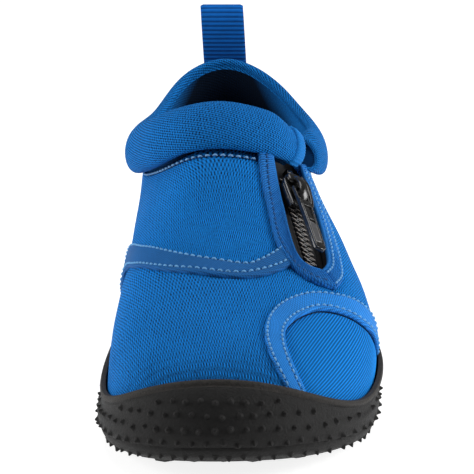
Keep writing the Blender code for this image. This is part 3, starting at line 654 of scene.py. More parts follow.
def knit_finish(name, colour, wale=0.38, course=2.2, depth=0.85, relief=0.13, sheen=0.04,
                cross=0.08, shadow=None):
    """Weft-knit face of neoprene: upright strokes of yarn, staggered from one wale to the next.

    The shadow, if any, is a finish step that gives how light each spot of the cloth is."""
    made = Finish(name, roughness=0.85, specular=0.06)
    u, v = made.cloth
    u = made.plus(u, made.line(made.noise(9.0, 3.0), 0.5, -0.25))
    u = made.plus(u, made.line(made.noise(1.7, 1.0), 0.3, -0.15))
    ends = made.plus(v, made.line(made.noise(2.3, 2.0), course, -0.5 * course))
    strokes = made.times(made.wave(u, 2 * wale), made.wave(ends, 2 * course))
    strokes = made.times(strokes, made.spread(made.noise(1.3, 2.0), 0.3, 0.7, 0.5, 1.5))
    loops = made.wave(made.plus(made.times(v, 0.93), made.times(u, 0.36)), 2 * wale)
    height = made.line(loops, cross, made.times(strokes, 0.62 - cross))
    height = made.plus(height, made.line(made.noise(0.7, 3.0, 0.7), 0.9, 0.05))
    tone = made.line(height, 2 * depth, 1 - depth)
    tone = made.times(tone, made.spread(made.noise(26.0, 3.0), 0.3, 0.7, 0.92, 1.07))
    _, y, z = made.axes
    # Painted shade: dark lines in the grooves between wales, where the knit is gathered round the toe just
    # above the rand, stand in for the shade in its fine creases.
    lasted = made.times(made.spread(z, 32.0, 40.0, 1.0, 0.0), made.spread(y, -118.0, -98.0, 1.0, 0.0))
    groove = made.spread(made.wave(u, 2 * wale), -1.0, 1.0, 0.6, 0.0)
    tone = made.times(tone, made.math("SUBTRACT", 1.0, made.times(lasted, groove)))
    if shadow:
        tone = made.times(tone, shadow(made))
    return made.done(tone, colour, 1.6, height, relief, (sheen, 0.45, (0.35, 0.62, 1.0)))


def off_middle(made, *limits):
    """A value that grows with the distance from the heel's middle."""
    return made.spread(made.math("ABSOLUTE", made.plus(made.axes[0], 4.0)), *limits)


def lining_painted_shade(made):
    """Painted shade on the lining: bright where it meets the rim and black deep in the heel and the toe."""
    return made.times(off_middle(made, 5.0, 24.0, 0.1, 0.6), made.spread(made.axes[2], 40.0, 76.0, 0.1, 1.0))


def rim_painted_shade(made):
    """Painted shade on the collar's inner face: blue at the rim going to black, soonest in the middle of the
    heel.
    """
    side = off_middle(made, 8.0, 26.0, 0.0, 32.0)
    return made.spread(made.plus(made.axes[2], side), 86.0, 104.0, 0.03, 1.0)


def ribbed_finish(name, colour):
    """Ribbed stretch knit: the ribs themselves are in the mesh, this is the yarn on them, with painted shade
    darkening the grooves between the ribs.
    """
    made = Finish(name, roughness=0.8, specular=0.08)
    u, v = made.cloth
    yarn = made.times(made.wave(u, 0.46), made.wave(v, 0.62))
    # Painted shade: the tone falls to its darkest in the grooves between the ribs.
    tone = made.spread(made.wave(u, RIB_PITCH), -1.0, 0.8, 0.30, 1.25)
    tone = made.times(tone, made.spread(yarn, -1, 1, 0.88, 1.08))
    return made.done(tone, colour, 1.25, made.line(yarn, 0.35, 0.5), 0.05, (0.03, 0.4, (0.35, 0.65, 1.0)))


def tape_finish(name, colour, pitch=1.0, ladder=0.0):
    """Satin woven tape: fine slanted floats. With a ladder, painted shade darkens it between its cross ribs.
    """
    made = Finish(name, roughness=0.7, specular=0.12)
    u, v = made.cloth
    slanted = made.plus(made.times(u, 0.8), made.times(v, 0.6))
    crossed = made.math("SUBTRACT", made.times(v, 0.8), made.times(u, 0.6))
    floats = made.times(made.wave(slanted, pitch), made.wave(crossed, 1.7 * pitch))
    height = made.plus(made.line(floats, 0.5, 0.5), made.times(made.noise(0.5, 2.0), 0.5))
    tone = made.spread(height, 0.1, 1.2, 0.15, 1.1)
    tone = made.times(tone, made.spread(made.noise(14.0), 0.3, 0.7, 0.93, 1.06))
    if ladder:
        # Painted shade: darker between the ladder's cross ribs, which are in the mesh.
        tone = made.times(tone, made.spread(made.wave(v, ladder), -1, 0.6, 0.55, 1.2))
    return made.done(tone, colour, 1.25, height, 0.05, (0.06, 0.35, (0.45, 0.7, 1.0)))


def thread_finish(name, colour):
    """Twisted sewing thread."""
    made = Finish(name, roughness=0.6, specular=0.25)
    u, v = made.cloth
    twist = made.wave(made.plus(v, made.times(u, 0.8)), 0.5)
    return made.done(made.spread(twist, -1, 1, 0.72, 1.1), colour, 1.25, twist, 0.04,
                     (0.1, 0.3, (0.7, 0.85, 1.0)))


def webbing_finish(name, colour):
    """Grosgrain: fine warp threads along it between its cross ribs, which are in the mesh. Painted shade
    darkens it between the ribs and lower down, and painted light brightens its top.
    """
    made = Finish(name, roughness=0.8, specular=0.08)
    u, v = made.cloth
    warp = made.wave(u, 0.42)
    rib = made.wave(v, LOOP_RIB)
    # Painted shade: darker between the cross ribs.
    tone = made.times(made.spread(rib, -1, 0.9, 0.42, 1.3), made.spread(warp, -1, 1, 0.8, 1.08))
    # Painted light and shade: lighter towards the webbing's top, darker lower down, as if lit from above.
    tone = made.times(tone, made.spread(made.axes[2], 84.0, 108.0, 0.72, 1.35))
    tone = made.times(tone, made.spread(made.noise(6.0), 0.3, 0.7, 0.92, 1.08))
    return made.done(tone, colour, 1.25, warp, 0.05, (0.04, 0.4, (0.4, 0.65, 1.0)))


def rubber_finish(name, colour=RUBBER_BLACK):
    """Matte moulded rubber with a fine skin, lighter on its raised edges."""
    made = Finish(name, specular=0.24)
    skin = made.noise(0.9, 5.0, 0.68)
    cloud = made.spread(made.noise(22.0, 3.0), 0.3, 0.7, 0.75, 1.2)
    tone = made.times(made.spread(skin, 0.35, 0.7, 0.3, 1.7), cloud)
    raised = made.node("ShaderNodeNewGeometry").outputs["Pointiness"]
    tone = made.plus(tone, made.spread(raised, 0.52, 0.62, 0.0, 0.8))
    made.set("Roughness", made.spread(skin, 0.3, 0.7, 0.5, 0.74))
    pits = made.plus(skin, made.times(made.noise(0.35, 2.0), 0.5))
    return made.done(tone, colour, 2.5, pits, 0.4)


def plastic_finish(name, colour, roughness=0.2, specular=0.6):
    """Moulded acetal: smooth, with faint scratches and mould texture."""
    made = Finish(name, specular=specular)
    fine = made.noise(0.6, 4.0, 0.6)
    made.set("Roughness", made.spread(made.noise(2.2, 3.0), 0.3, 0.7, roughness * 0.75, roughness * 1.5))
    return made.done(made.spread(fine, 0.3, 0.7, 0.8, 1.3), colour, 2.0, fine, 0.02)


def woven_black_finish(name):
    """Black herringbone zip tape."""
    made = Finish(name, roughness=0.8, specular=0.3)
    u, v = made.cloth
    twill = made.wave(made.plus(v, made.math("PINGPONG", u, 1.4)), 0.8)
    height = made.line(made.times(twill, made.wave(u, 0.5)), 0.5, 0.5)
    tone = made.spread(height, 0, 1, 0.45, 1.3)
    return made.done(tone, (0.013, 0.013, 0.014), 2.0, height, 0.08, (0.03, 0.4, (0.6, 0.6, 0.7)))


def foam_finish(name, colour):
    """Closed-cell foam or board, for layers under the footbed."""
    made = Finish(name, roughness=0.9, specular=0.2)
    cells = made.noise(0.7, 4.0, 0.7)
    return made.done(made.spread(cells, 0.3, 0.7, 0.42, 1.26), colour, 1.4, cells, 0.15)


# ---------------------------------------------------------------- boundary curves of the upper

INSTEP_SEAM = (
    (-4.0, 0.0), (-3.75, 0.24), (-3.25, 0.5), (-2.6, 0.648), (-1.9, 0.695), (-1.3, 0.706),
    (-0.4, 0.699), (0.28, 0.685), (0.6, 0.694), (1.0, 0.716), (1.2, 0.748),
)
SLOT_FRONT = (
    (1.12, 0.985), (1.12, 0.923), (1.15, 0.858), (1.175, 0.79), (1.24, 0.72), (1.40, 0.673),
    (1.68, 0.633),
)
SLOT_REAR = (
    (1.68, 0.633), (1.87, 0.655), (1.98, 0.715), (2.06, 0.777), (2.12, 0.83), (2.17, 0.9),
    (2.19, 0.985),
)
PATCH_EDGE = (
    (1.32, 0.0), (1.10, 0.167), (0.93, 0.323), (0.885, 0.42), (0.97, 0.468), (1.17, 0.497),
    (1.46, 0.498), (1.82, 0.453), (2.17, 0.385), (2.60, 0.277), (2.95, 0.14), (3.15, 0.0),
)
PATCH_TAPE_EDGE = (
    (1.05, 0.0), (0.84, 0.198), (0.68, 0.332), (0.62, 0.43), (0.68, 0.507), (0.86, 0.558),
    (1.15, 0.58), (1.48, 0.57), (1.94, 0.518), (2.36, 0.447), (2.75, 0.347), (3.15, 0.18),
    (3.42, 0.0),
)
BORDER_FRONT_EDGE = (
    (0.78, 0.955), (0.79, 0.933), (0.85, 0.863), (0.90, 0.79), (0.99, 0.738), (1.21, 0.665),
    (1.48, 0.608), (1.84, 0.555),
)
BORDER_REAR_EDGE = (
    (1.84, 0.555), (2.07, 0.575), (2.20, 0.63), (2.30, 0.70), (2.39, 0.78), (2.45, 0.85),
    (2.49, 0.92), (2.50, 0.955),
)
TAPE_LOW_EDGE = (
    (-4.2, 0.08), (-4.0, 0.24), (-3.2, 0.43), (-2.55, 0.6), (-2.0, 0.648), (-1.47, 0.668),
    (-0.56, 0.672), (0.22, 0.658), (0.6, 0.664), (0.98, 0.683), (1.2, 0.70),
)
TAPE_HIGH_EDGE = (
    (-4.45, 0.08), (-4.3, 0.26), (-3.5, 0.5), (-2.7, 0.69), (-1.85, 0.735), (-1.13, 0.738),
    (-0.21, 0.72), (0.36, 0.708), (0.59, 0.72), (0.86, 0.745), (1.06, 0.765),
)
RIB_FROM = (0.96, 0.358)
RIB_TO = (1.44, 0.493)


# ---------------------------------------------------------------- neoprene panels


def pressed(spots, lines):
    """Depth of the hollows that sewn edges press into the neoprene.

    Each line gives its (q, t) curve, its depth and its width."""
    plan = spots * PLAN
    depth = np.zeros(len(spots))
    for curve, deep, wide in lines:
        depth += deep * np.exp(-((polyline_distance(plan, curve * PLAN) / wide) ** 2))
    return depth


def slack(points):
    """Slow unevenness of a stretched sheet, in millimetres."""
    x, y, z = points.T
    return (0.16 * np.sin(0.11 * x + 0.07 * y + 1.3) * np.sin(0.13 * z + 0.05 * y)
            + 0.09 * np.sin(0.21 * x - 0.17 * y + 0.9 * np.sin(0.1 * z)))


def gathers(points):
    """Small upright ripples where the knit is lasted round the toe, fading away above the rand."""
    x, y, z = points.T
    low = np.exp(-(((z - 33) / 6.0) ** 2)) * ease((-95 - y) / 25)
    return 0.34 * low * np.sin(1.35 * x + 1.2 * np.sin(0.31 * x)) * (0.6 + 0.4 * np.sin(0.47 * x + 2))


def panel(name, border, spacing, finishes, along, lines, slot, **lattice):
    """Neoprene sheet over the upper inside a closed (q, t) border."""
    spots, plan, triangles, closed = triangulated(border, spacing, **lattice)
    edge = polyline_distance(plan, closed)
    roll = 0.7 * np.clip(1 - edge / 1.3, 0, 1) ** 2
    surface = upper_skin(spots[:, 0], spots[:, 1])
    depth = roll + pressed(spots, lines) + slack(surface) * ease(edge / 8) + gathers(surface)
    outer = laid(spots, depth)
    inner = laid(spots, NEOPRENE - 0.4 * roll)
    coords = cloth_map(outer, triangles, along)
    return sheet_piece(name, outer, inner, triangles, finishes, coords, slot=slot)


def sheet_piece(name, outer, inner, triangles, finishes, coords, **more):
    points, faces = doubled(outer, inner, triangles)
    count = len(triangles)
    which = [0] * count + [1] * count + [2] * (len(faces) - 2 * count)
    return piece(name, points, faces, finishes, coords=np.concatenate([coords, coords]),
                 which=which, **more)


def neoprene(knit, ribbed, lining, core):
    seam = smooth(INSTEP_SEAM, 150)
    front = smooth(SLOT_FRONT, 46)
    rear = smooth(SLOT_REAR, 40)
    patch = smooth(PATCH_EDGE, 100)
    half = 0.15
    split = np.argmin(np.linalg.norm((front - seam[-1]) * PLAN, axis=1))
    below = beside(seam, -half)[:-1]
    lines = [
        (smooth(TAPE_LOW_EDGE, 60), 0.55, 1.8), (smooth(TAPE_HIGH_EDGE, 60), 0.5, 1.8),
        (smooth(PATCH_TAPE_EDGE, 60), 0.5, 1.8), (smooth(BORDER_FRONT_EDGE, 30), 0.5, 1.8),
        (smooth(BORDER_REAR_EDGE, 30), 0.5, 1.8), (level(-7, 7, 1.0, 100), 1.3, 2.4),
    ]
    vamp = np.concatenate([
        level(3.19, HEEL - SEAM_GAP - 0.23, 0, 70)[:-1],
        upright(HEEL - SEAM_GAP, 0, TOP, 50)[:-1],
        level(HEEL - SEAM_GAP, 2.19, TOP, 90),
        rear[::-1][1:],
        front[split + 1 : -1][::-1],
        below[::-1],
        level(below[0, 0] + 0.3, 1.2, 0, 100),
        beside(patch, half)[1:-1],
    ])
    vamp[:, 1] = np.clip(vamp[:, 1], 0, TOP)
    finishes = [knit, lining, core]
    panel("vamp_panel", vamp, 2.3, finishes, (0, 1, 0), lines, "neoprene_blue")

    above = beside(seam, half)[:-1]
    above[0, 1] = 0
    instep = np.concatenate([
        above,
        front[: split - 1][::-1],
        level(1.12, SEAM_GAP - HEEL, TOP, 150)[1:-1],
        upright(SEAM_GAP - HEEL, TOP, 0, 50),
        level(SEAM_GAP - HEEL, above[0, 0], 0, 50)[1:-1],
    ])
    panel("instep_panel", instep, 2.3, finishes, (0, 1, 0), lines, "neoprene_blue")

    edge = beside(patch, -half)
    edge[0, 1] = 0
    edge[-1, 1] = 0
    border = np.concatenate([edge, level(edge[-1, 0], edge[0, 0], 0, 40)[1:-1]])
    from_point, to_point = upper_skin(*RIB_FROM), upper_skin(*RIB_TO)
    lay = np.subtract(RIB_TO, RIB_FROM) * PLAN
    spots, plan, triangles, closed = triangulated(
        border, 0.225, turn=math.atan2(lay[1], lay[0]), stretch=5.0, rings=(0.4,))
    flat = laid(spots, 0)
    coords = cloth_map(flat, triangles, to_point - from_point)
    rib = 0.5 - 0.5 * np.cos(math.tau * coords[:, 0] / RIB_PITCH)
    clear = ease(polyline_distance(plan, closed) / 1.2)
    press = pressed(spots, [(patch, 0.6, 2.0)])
    outer = laid(spots, 0.3 + press - 0.3 * clear * (1 - rib))
    inner = laid(spots, NEOPRENE)
    sheet_piece("forefoot_patch", outer, inner, triangles, [ribbed, lining, core], coords,
                slot="ribbed_blue")


# ---------------------------------------------------------------- tapes and their stitches

def tape_height(x, width, rows, run, body):
    """Height of a sewn tape over the neoprene, at distances x across it."""
    edge = np.clip(np.minimum(x, width - x) / 0.7, 0, 1)
    height = 0.28 + (body - 0.28) * np.sqrt(1 - (1 - edge) ** 2)
    height += 0.12 * np.sin(math.pi * np.clip(x / width, 0, 1))
    for row in rows:
        near = np.exp(-(((x - from_edge(row, width)) / 0.42) ** 2))
        height -= near * (0.26 + 0.05 * np.cos(math.tau * run / STITCH_PITCH))
    return height


def from_edge(row, width):
    """Distance of a stitched line from a tape's first edge."""
    return row if row > 0 else width + row


def tape(name, first, second, finish, rows, threads, ladder=0.0, body=0.85):
    """Tape between two (q, t) curves. Rows are stitched lines, measured from the first edge, or
    from the second one where they are negative. A ladder is the pitch of its cross ribs."""
    across = 22
    share = np.linspace(0, 1, across)[None, :, None]
    spots = first[:, None] * (1 - share) + second[:, None] * share
    run = lengths(laid(0.5 * (first + second), 0))[:, None]
    width = np.linalg.norm(upper_skin(*second.T) - upper_skin(*first.T), axis=1)[:, None]
    x = width * share[..., 0]
    height = tape_height(x, width, rows, run, body)
    if ladder:
        height = height + (LADDER_RISE * np.cos(math.tau * run / ladder)
                           * ease(np.minimum(x, width - x) / 0.5))
    outer = laid(spots, -height)
    foot = laid(spots[:, [0, -1]], 0.3)
    section = np.concatenate([foot[:, :1], outer, foot[:, 1:]], axis=1)
    coords = np.stack([np.concatenate([x[:, :1], x, x[:, -1:]], 1),
                       np.repeat(run, across + 2, 1)], -1)
    piece(name, section, ring_faces(len(section), across + 2), finish, "seam_tape_blue",
          coords=coords.reshape(-1, 2))
    for row in rows:
        at = from_edge(row, width)
        part = np.clip(at / width, 0, 1)
        top = tape_height(np.broadcast_to(at, width.shape), width, rows, run, body)[:, 0]
        points, normals = upper_line(first * (1 - part) + second * part, top + 0.1)
        stitches(threads, points[1:-1], normals[1:-1])


def tapes(shaded_tape, lit_tape, bright, thread, seam_thread, pale, dark_thread, hole_shade):
    seams = Bag()
    tape("instep_seam_tape", smooth(TAPE_LOW_EDGE, 280), smooth(TAPE_HIGH_EDGE, 280), shaded_tape,
         (2.9, -1.0), seams)
    count = 260
    inner, outer = smooth(PATCH_EDGE, count), smooth(PATCH_TAPE_EDGE, count)
    keep = np.minimum(inner[:, 1], outer[:, 1]) > 0.04
    tape("patch_border_tape", outer[keep], inner[keep], lit_tape, (0.95, -2.0), seams)
    front = smooth([(1.12, 0.995), *SLOT_FRONT[1:]], 300)
    front_edge = smooth([(0.78, 0.995), *BORDER_FRONT_EDGE[1:]], 300)
    dark = Bag()
    tape("zip_border_front", front_edge, front, bright, (2.6,), dark, ladder=LADDER_PITCH, body=1.3)
    rear = smooth([*SLOT_REAR[:-1], (2.19, 0.995)], 280)
    rear_edge = smooth([*BORDER_REAR_EDGE[:-1], (2.50, 0.995)], 280)
    tape("zip_border_rear", rear, rear_edge, bright, (1.6, -1.4), seams, ladder=LADDER_PITCH, body=1.3)
    line = beside(rear_edge, 0.75)
    points, normals = upper_line(line[4:-4], 0.78)
    stitches(dark, points, normals, shade_dots=False)
    back = np.linspace(0.36, 0.95, 60)
    left = np.stack([np.full(60, HEEL - 0.13), back], -1)
    right = np.stack([np.full(60, HEEL + 0.13), back], -1)
    tape("heel_seam_tape", left, right, shaded_tape, (1.0, -1.0), seams)
    for start, end, count in ((-6.9, 1.0, 400), (2.62, 6.9, 300)):
        points, normals = upper_line(level(start, end, 0.982, count), -0.35)
        stitches(seams, points, normals, which=2)
    seams.piece("seam_stitches", [thread, hole_shade, seam_thread], "seam_tape_blue", stands=False)
    dark.piece("zip_border_stitches", [dark_thread, hole_shade], "seam_tape_blue", stands=False)

    piping = Bag()
    for curve in (front, rear):
        points, _ = upper_line(curve[::3], 0.55)
        tube, faces = tube_path(points, 0.75, 10)
        run = np.repeat(lengths(points), 10)
        piping.add(tube, faces, np.stack([np.tile(np.arange(10) * 0.47, len(points)), run], -1))
    piping.piece("zip_piping", pale, "seam_tape_blue", stands=False)


# ---------------------------------------------------------------- padded collar

def collar_samples():
    """What each point of a collar section is, going round it, with its rise over the seam."""
    outer = [("outer", s) for s in np.linspace(0.0, COLLAR_TOP, 24)]
    rim = [("rim", a) for a in np.linspace(0, math.pi, 11)[1:-1]]
    inner = [("inner", f) for f in np.linspace(0, 1, 14)]
    return outer + rim + inner


def collar_grid(q_at_seam, q_at_rim):
    """Sections of the padded collar: rows of stations, columns of points going round."""
    q_at_seam, q_at_rim = np.asarray(q_at_seam, float), np.asarray(q_at_rim, float)
    bend = 0.5 * COLLAR_WALL
    columns = []
    for kind, value in collar_samples():
        rise = value if kind == "outer" else COLLAR_TOP if kind == "rim" else COLLAR_TOP * (1 - value)
        q = q_at_seam + (q_at_rim - q_at_seam) * rise
        if kind == "outer":
            plump = COLLAR_PLUMP + (ring(COLLAR_CORNER, q) * value**1.5)
            swell = plump * math.sin(math.pi * value / COLLAR_TOP)
            swell = swell * (1 + 0.2 * np.sin(2.1 * q) * np.sin(3.7 * q + 1.0))
            sag = np.maximum(ring(COLLAR_SAG, q), 0) * math.sin(math.pi * value / COLLAR_TOP)
            fall = np.stack([0 * q, 0 * q, -sag], -1)
            columns.append(under(collar_skin, q, value, -swell) + fall)
            continue
        _, up, normal = frame_at(collar_skin, q, COLLAR_TOP + 0 * q)
        up = unit(up)
        if kind == "rim":
            centre = under(collar_skin, q, COLLAR_TOP, bend)
            columns.append(centre + bend * (math.cos(value) * normal + math.sin(value) * up))
            continue
        top = under(collar_skin, q, COLLAR_TOP, COLLAR_WALL)
        out = np.concatenate([sideways(column(1), q), np.zeros(q.shape + (1,))], -1)
        foot = ring(column(1), q) - out * 2.4 - np.array([0, 0, 2.0])
        belly = out * (1.6 * math.sin(math.pi * value))
        columns.append(top * (1 - value) + foot * value - belly)
    grid = np.stack(columns, 1)
    low = grid[..., 2].min(1, keepdims=True)
    flat = REAR_SQUASH * ease((2.85 - q_at_seam) / 0.7) * (q_at_seam >= 2.1)
    grid[..., 2] = low + (grid[..., 2] - low) * (1 - flat)[:, None]
    end = ease((q_at_seam - 0.8) / 0.9) * (q_at_seam < 2.1)
    middle = grid.mean(1, keepdims=True)
    fall = np.stack([0 * end, 0 * end, COLLAR_END_FALL * end], -1)[:, None]
    return middle - fall + (grid - middle) * (1 - COLLAR_NIP * end)[:, None, None]


def collar_half(name, low, high, count, finishes):
    """Padded roll of neoprene between two slanted ends, each a q at the seam and one at the rim."""
    share = np.linspace(0, 1, count)
    grid = collar_grid(low[0] + (high[0] - low[0]) * share, low[1] + (high[1] - low[1]) * share)
    size = grid.shape[1]
    along = lengths(grid[:, size // 2])
    up = lengths(grid[count // 2])
    coords = np.stack(np.meshgrid(along, up, indexing="ij"), -1)
    side = [1 if kind == "inner" and value > 0.02 else 0 for kind, value in collar_samples()]
    made = piece(name, grid.reshape(-1, 3), ring_faces(count, size), finishes,
                 coords=coords.reshape(-1, 2), which=side * (count - 1) + [2, 2], slot="neoprene_blue")
    return made


def collar_binding(name, end, way, finishes, wall=0.9, reach=4.6, depth=0.0):
    """Ribbed tape folded round the open end of the collar, following its section.

    The depth is how far its inside is left hollow past the padding."""
    profile = np.array([
        (-reach, -0.3), (-reach, 0.35), (-reach + 0.5, wall), (-0.6 * reach, wall + 0.12),
        (-0.2 * reach, wall + 0.12), (0.3, wall), (0.95, 0.4 * wall), (1.1, -0.35), (0.8, -0.95),
        (0.1, -1.15), (-depth - 0.4, -1.15), (-depth - 0.4, -0.3),
    ])
    kinds = collar_samples()
    keep = [k for k, (kind, value) in enumerate(kinds)
            if not (kind == "outer" and value < 0.06) and not (kind == "inner" and value > 0.9)]
    step = np.linalg.norm(frame_at(collar_skin, np.array([end[0]]), np.array([0.5]))[0])
    flat = collar_grid(np.array([end[0]]), np.array([end[1]]))[0, keep]
    ahead_point = collar_grid(np.array([end[0] + 0.02]), np.array([end[1] + 0.02]))[0, keep]
    fine = 190
    path = spread(flat, fine)
    ahead = spread(ahead_point, fine) - path
    ahead = unit(ahead)
    tangent = np.gradient(path, axis=0)
    normal = np.cross(ahead, tangent)
    normal = unit(normal)
    curve = np.stack([collar_grid(np.array([end[0] + way * a / step]),
                                  np.array([end[1] + way * a / step]))[0, keep] for a in profile[:, 0]])
    run = lengths(path)
    fade = np.clip(np.minimum(run, run[-1] - run) / 1.2, 0.12, 1) ** 0.5
    grid = []
    for k, (a, h) in enumerate(profile):
        line = spread(curve[k], fine)
        ribs = 0.11 * np.cos(math.tau * run / 1.25) if h > 0.2 else 0.0
        grid.append(line + normal * ((h + ribs) * fade)[:, None])
    grid = np.stack(grid, 1)
    around = lengths(np.column_stack([profile, np.zeros(len(profile))]))
    coords = np.stack(np.meshgrid(run, around, indexing="ij"), -1)[..., ::-1]
    size = len(profile)
    inside = [1 if 8 <= j <= 10 else 0 for j in range(size)]
    return piece(name, grid.reshape(-1, 3), ring_faces(fine, size), finishes,
                 coords=coords.reshape(-1, 2), which=inside * (fine - 1) + [0, 0], slot="ribbed_blue")


def collar(knit, binding, rim_lining, lining, core):
    # The collar's inner faces take the rim lining, which carries painted shade.
    finishes = [knit, rim_lining, lining]
    hollow = 3.4
    back = hollow / 25
    collar_half("collar_front", (SEAM_GAP - HEEL, SEAM_GAP - HEEL), FRONT_END, 200, finishes)
    collar_half("collar_rear", (REAR_END[0] + back, REAR_END[1] + back),
                (HEEL - SEAM_GAP, HEEL - SEAM_GAP), 110, finishes)
    collar_binding("collar_binding_front", FRONT_END, 1, [binding, core])
    # The rear binding takes the rim lining and the lining, so painted shade darkens its open end and hollow.
    collar_binding("collar_binding_rear", REAR_END, -1, [rim_lining, lining], 0.55, 2.6, hollow)


# ---------------------------------------------------------------- sole

NUB_ACROSS = 2.0
NUB_RISE = 1.3
NUB_STEP = 8.0
NUB_ROW = 4.6
NUB_STRAY = 0.8
LUG_STEP = 9.4
BASE_RISE = 0.5


def rand_share(q):
    """t of the upper at which the rubber rand ends."""
    t = np.linspace(0, 0.6, 121)
    height = upper_skin(np.asarray(q)[:, None], t[None])[..., 2]
    wanted = ring(RAND_HEIGHT, q)
    return np.array([np.interp(w, h, t) for w, h in zip(wanted, height)])


def through(rows, count):
    """Even samples along smooth curves through rows of points, one curve for each column, and
    the curves' lengths."""
    curves = np.swapaxes(rounded(rows, 10), 0, 1)
    return (np.stack([spread(curve, count) for curve in curves], 1),
            np.array([lengths(curve)[-1] for curve in curves]))


def wall_normals(grid):
    """Outward normals of the sole's side, a lattice of rows going up and columns going round."""
    round_step = np.roll(grid, -1, 1) - np.roll(grid, 1, 1)
    normal = np.cross(round_step, np.gradient(grid, axis=0))
    return unit(normal)


def dome(bag, centre, normal, radius, height):
    """Low round nub whose foot is sunk in the wall behind it."""
    sides = 10
    helper = (0.0, 0.0, 1.0) if abs(normal[2]) < 0.8 else (0.0, 1.0, 0.0)
    across = unit(np.cross(normal, helper))
    spokes = circle(sides, across, np.cross(normal, across))
    shape = ((1.5, -0.5), (1.3, 0.0), (0.82, 0.28), (0.52, 0.64), (0.26, 0.92))
    rings = [centre + spokes * radius * r + normal * height * h for r, h in shape]
    points = np.concatenate(rings + [[centre + normal * height]])
    faces = ring_faces(len(shape), sides, caps=False)
    last = (len(shape) - 1) * sides
    faces += [(last + k, last + (k + 1) % sides, len(points) - 1) for k in range(sides)]
    faces.append(tuple(reversed(range(sides))))
    bag.add(points, faces)


def outsole(rubber, lip, tread):
    count = 400
    rows = 44
    q = np.arange(count) * TURN / count
    top = rand_share(q)
    wall = RAND_GAP + RAND_WALL
    control = [outline(q, inset, height) for inset, height in
               ((5.6, 0.9), (2.4, 2.6), (0.6, 6), (0, 10))]
    control += [under(upper_skin, q, top * share, -wall) for share in (0.45, 0.75, 0.97)]
    side, tall = through(control, rows)
    normal = wall_normals(side)
    run = np.linspace(0, 1, rows)[:, None] * tall[None]
    from_top = tall[None] - run
    groove = -0.55 * np.exp(-(((run - 7.2) / 0.42) ** 2))
    bead = 0.45 * np.exp(-(((from_top - 1.0) / 0.75) ** 2))
    under_bead = -0.35 * np.exp(-(((from_top - 2.4) / 0.45) ** 2))
    shown = side + normal * (groove + bead + under_bead)[..., None]

    bag = Bag()
    edge = outline(q, 9, BASE_RISE)
    floor_edge = outline(q, FEATHER_INSET - RAND_GAP, SOLE_FLOOR)
    rings = [edge, outline(q, 7, BASE_RISE)]
    rings += list(shown)
    rings.append(under(upper_skin, q, top, -RAND_GAP - 0.7))
    rings += [under(upper_skin, q, top * share, -RAND_GAP) for share in (1.0, 0.9, 0.5, 0.1)]
    rings.append(floor_edge)
    points = list(np.concatenate(rings))
    faces = ring_faces(len(rings), count, caps=False)
    lip_rows = range(2 + rows - 5, 2 + rows + 3)
    which = [1 if i // count in lip_rows else 0 for i in range(len(faces))]
    for base, border, height in ((0, edge, BASE_RISE),
                                 ((len(rings) - 1) * count, floor_edge, SOLE_FLOOR)):
        flat, _plan, triangles, _closed = triangulated(border[:, :2], 9.0, scale=np.ones(2), rings=())
        extra = flat[count:]
        offset = len(points) - count
        points += [np.array([p[0], p[1], float(spring(p[1])) + height]) for p in extra]
        faces += [tuple(base + k if k < count else offset + k for k in f) for f in triangles]
        which += [0] * len(triangles)
    bag.add(points, faces, which=which)

    chance = np.random.default_rng(7)
    perimeter = lengths(side[12])[-1]
    around = int(perimeter / NUB_STEP)
    for row in range(7):
        for k in range(around):
            stray, lift, girth = chance.uniform(-1, 1, 3)
            step = k + 0.5 * (row % 2) + stray * NUB_STRAY / NUB_STEP
            column_at = (step / around * count) % count
            j = int(column_at)
            f = column_at - j
            tall_here = tall[j]
            up = 3.0 + row * NUB_ROW + 0.7 * lift * NUB_STRAY
            if row > 0:
                up += 1.5
            if up > tall_here - 4.2:
                continue
            share = up / tall_here * (rows - 1)
            i = int(share)
            g = share - i
            k2 = (j + 1) % count
            corner = ((side[i, j], (1 - g) * (1 - f)), (side[i, k2], (1 - g) * f),
                      (side[i + 1, j], g * (1 - f)), (side[i + 1, k2], g * f))
            centre = sum(p * w for p, w in corner)
            dome(bag, centre - 0.12 * normal[i, j], normal[i, j], NUB_ACROSS / 2 * (1 + 0.15 * girth),
                 NUB_RISE * (1 - 0.12 * lift))

    low, high = edge[:, :2].min(0), edge[:, :2].max(0)
    row = 0
    y = low[1]
    while y < high[1]:
        x = low[0] + (LUG_STEP / 2 if row % 2 else 0)
        while x < high[0]:
            spot = np.array([[x, y]])
            if inside_outline(spot, edge[:, :2])[0]:
                gap = np.linalg.norm(edge[:, :2] - spot, axis=1).min()
                if gap > 1.0:
                    lug(bag, x, y, 3.6)
            x += LUG_STEP
        y += LUG_STEP * 0.86
        row += 1
    bag.piece("outsole", [rubber, lip, tread], slot="black_rubber", sharp=38)


def lug(bag, x, y, radius):
    """Six-sided tread block under the sole, with a sipe-like hollow in its middle."""
    angles = np.arange(6) * math.tau / 6 + math.pi / 6
    ground = float(spring(y))
    shape = ((1.12, BASE_RISE + 0.5), (1.05, BASE_RISE - 0.1), (1.0, 0.16), (0.95, 0.0), (0.42, 0.0),
             (0.36, 0.35))
    rings = []
    for size, height in shape:
        ring_points = np.stack([x + radius * size * np.cos(angles), y + radius * size * np.sin(angles)], -1)
        rings.append(np.column_stack([ring_points, ground + np.full(6, height)]))
    bag.add(np.concatenate(rings), ring_faces(len(rings), 6), which=2)


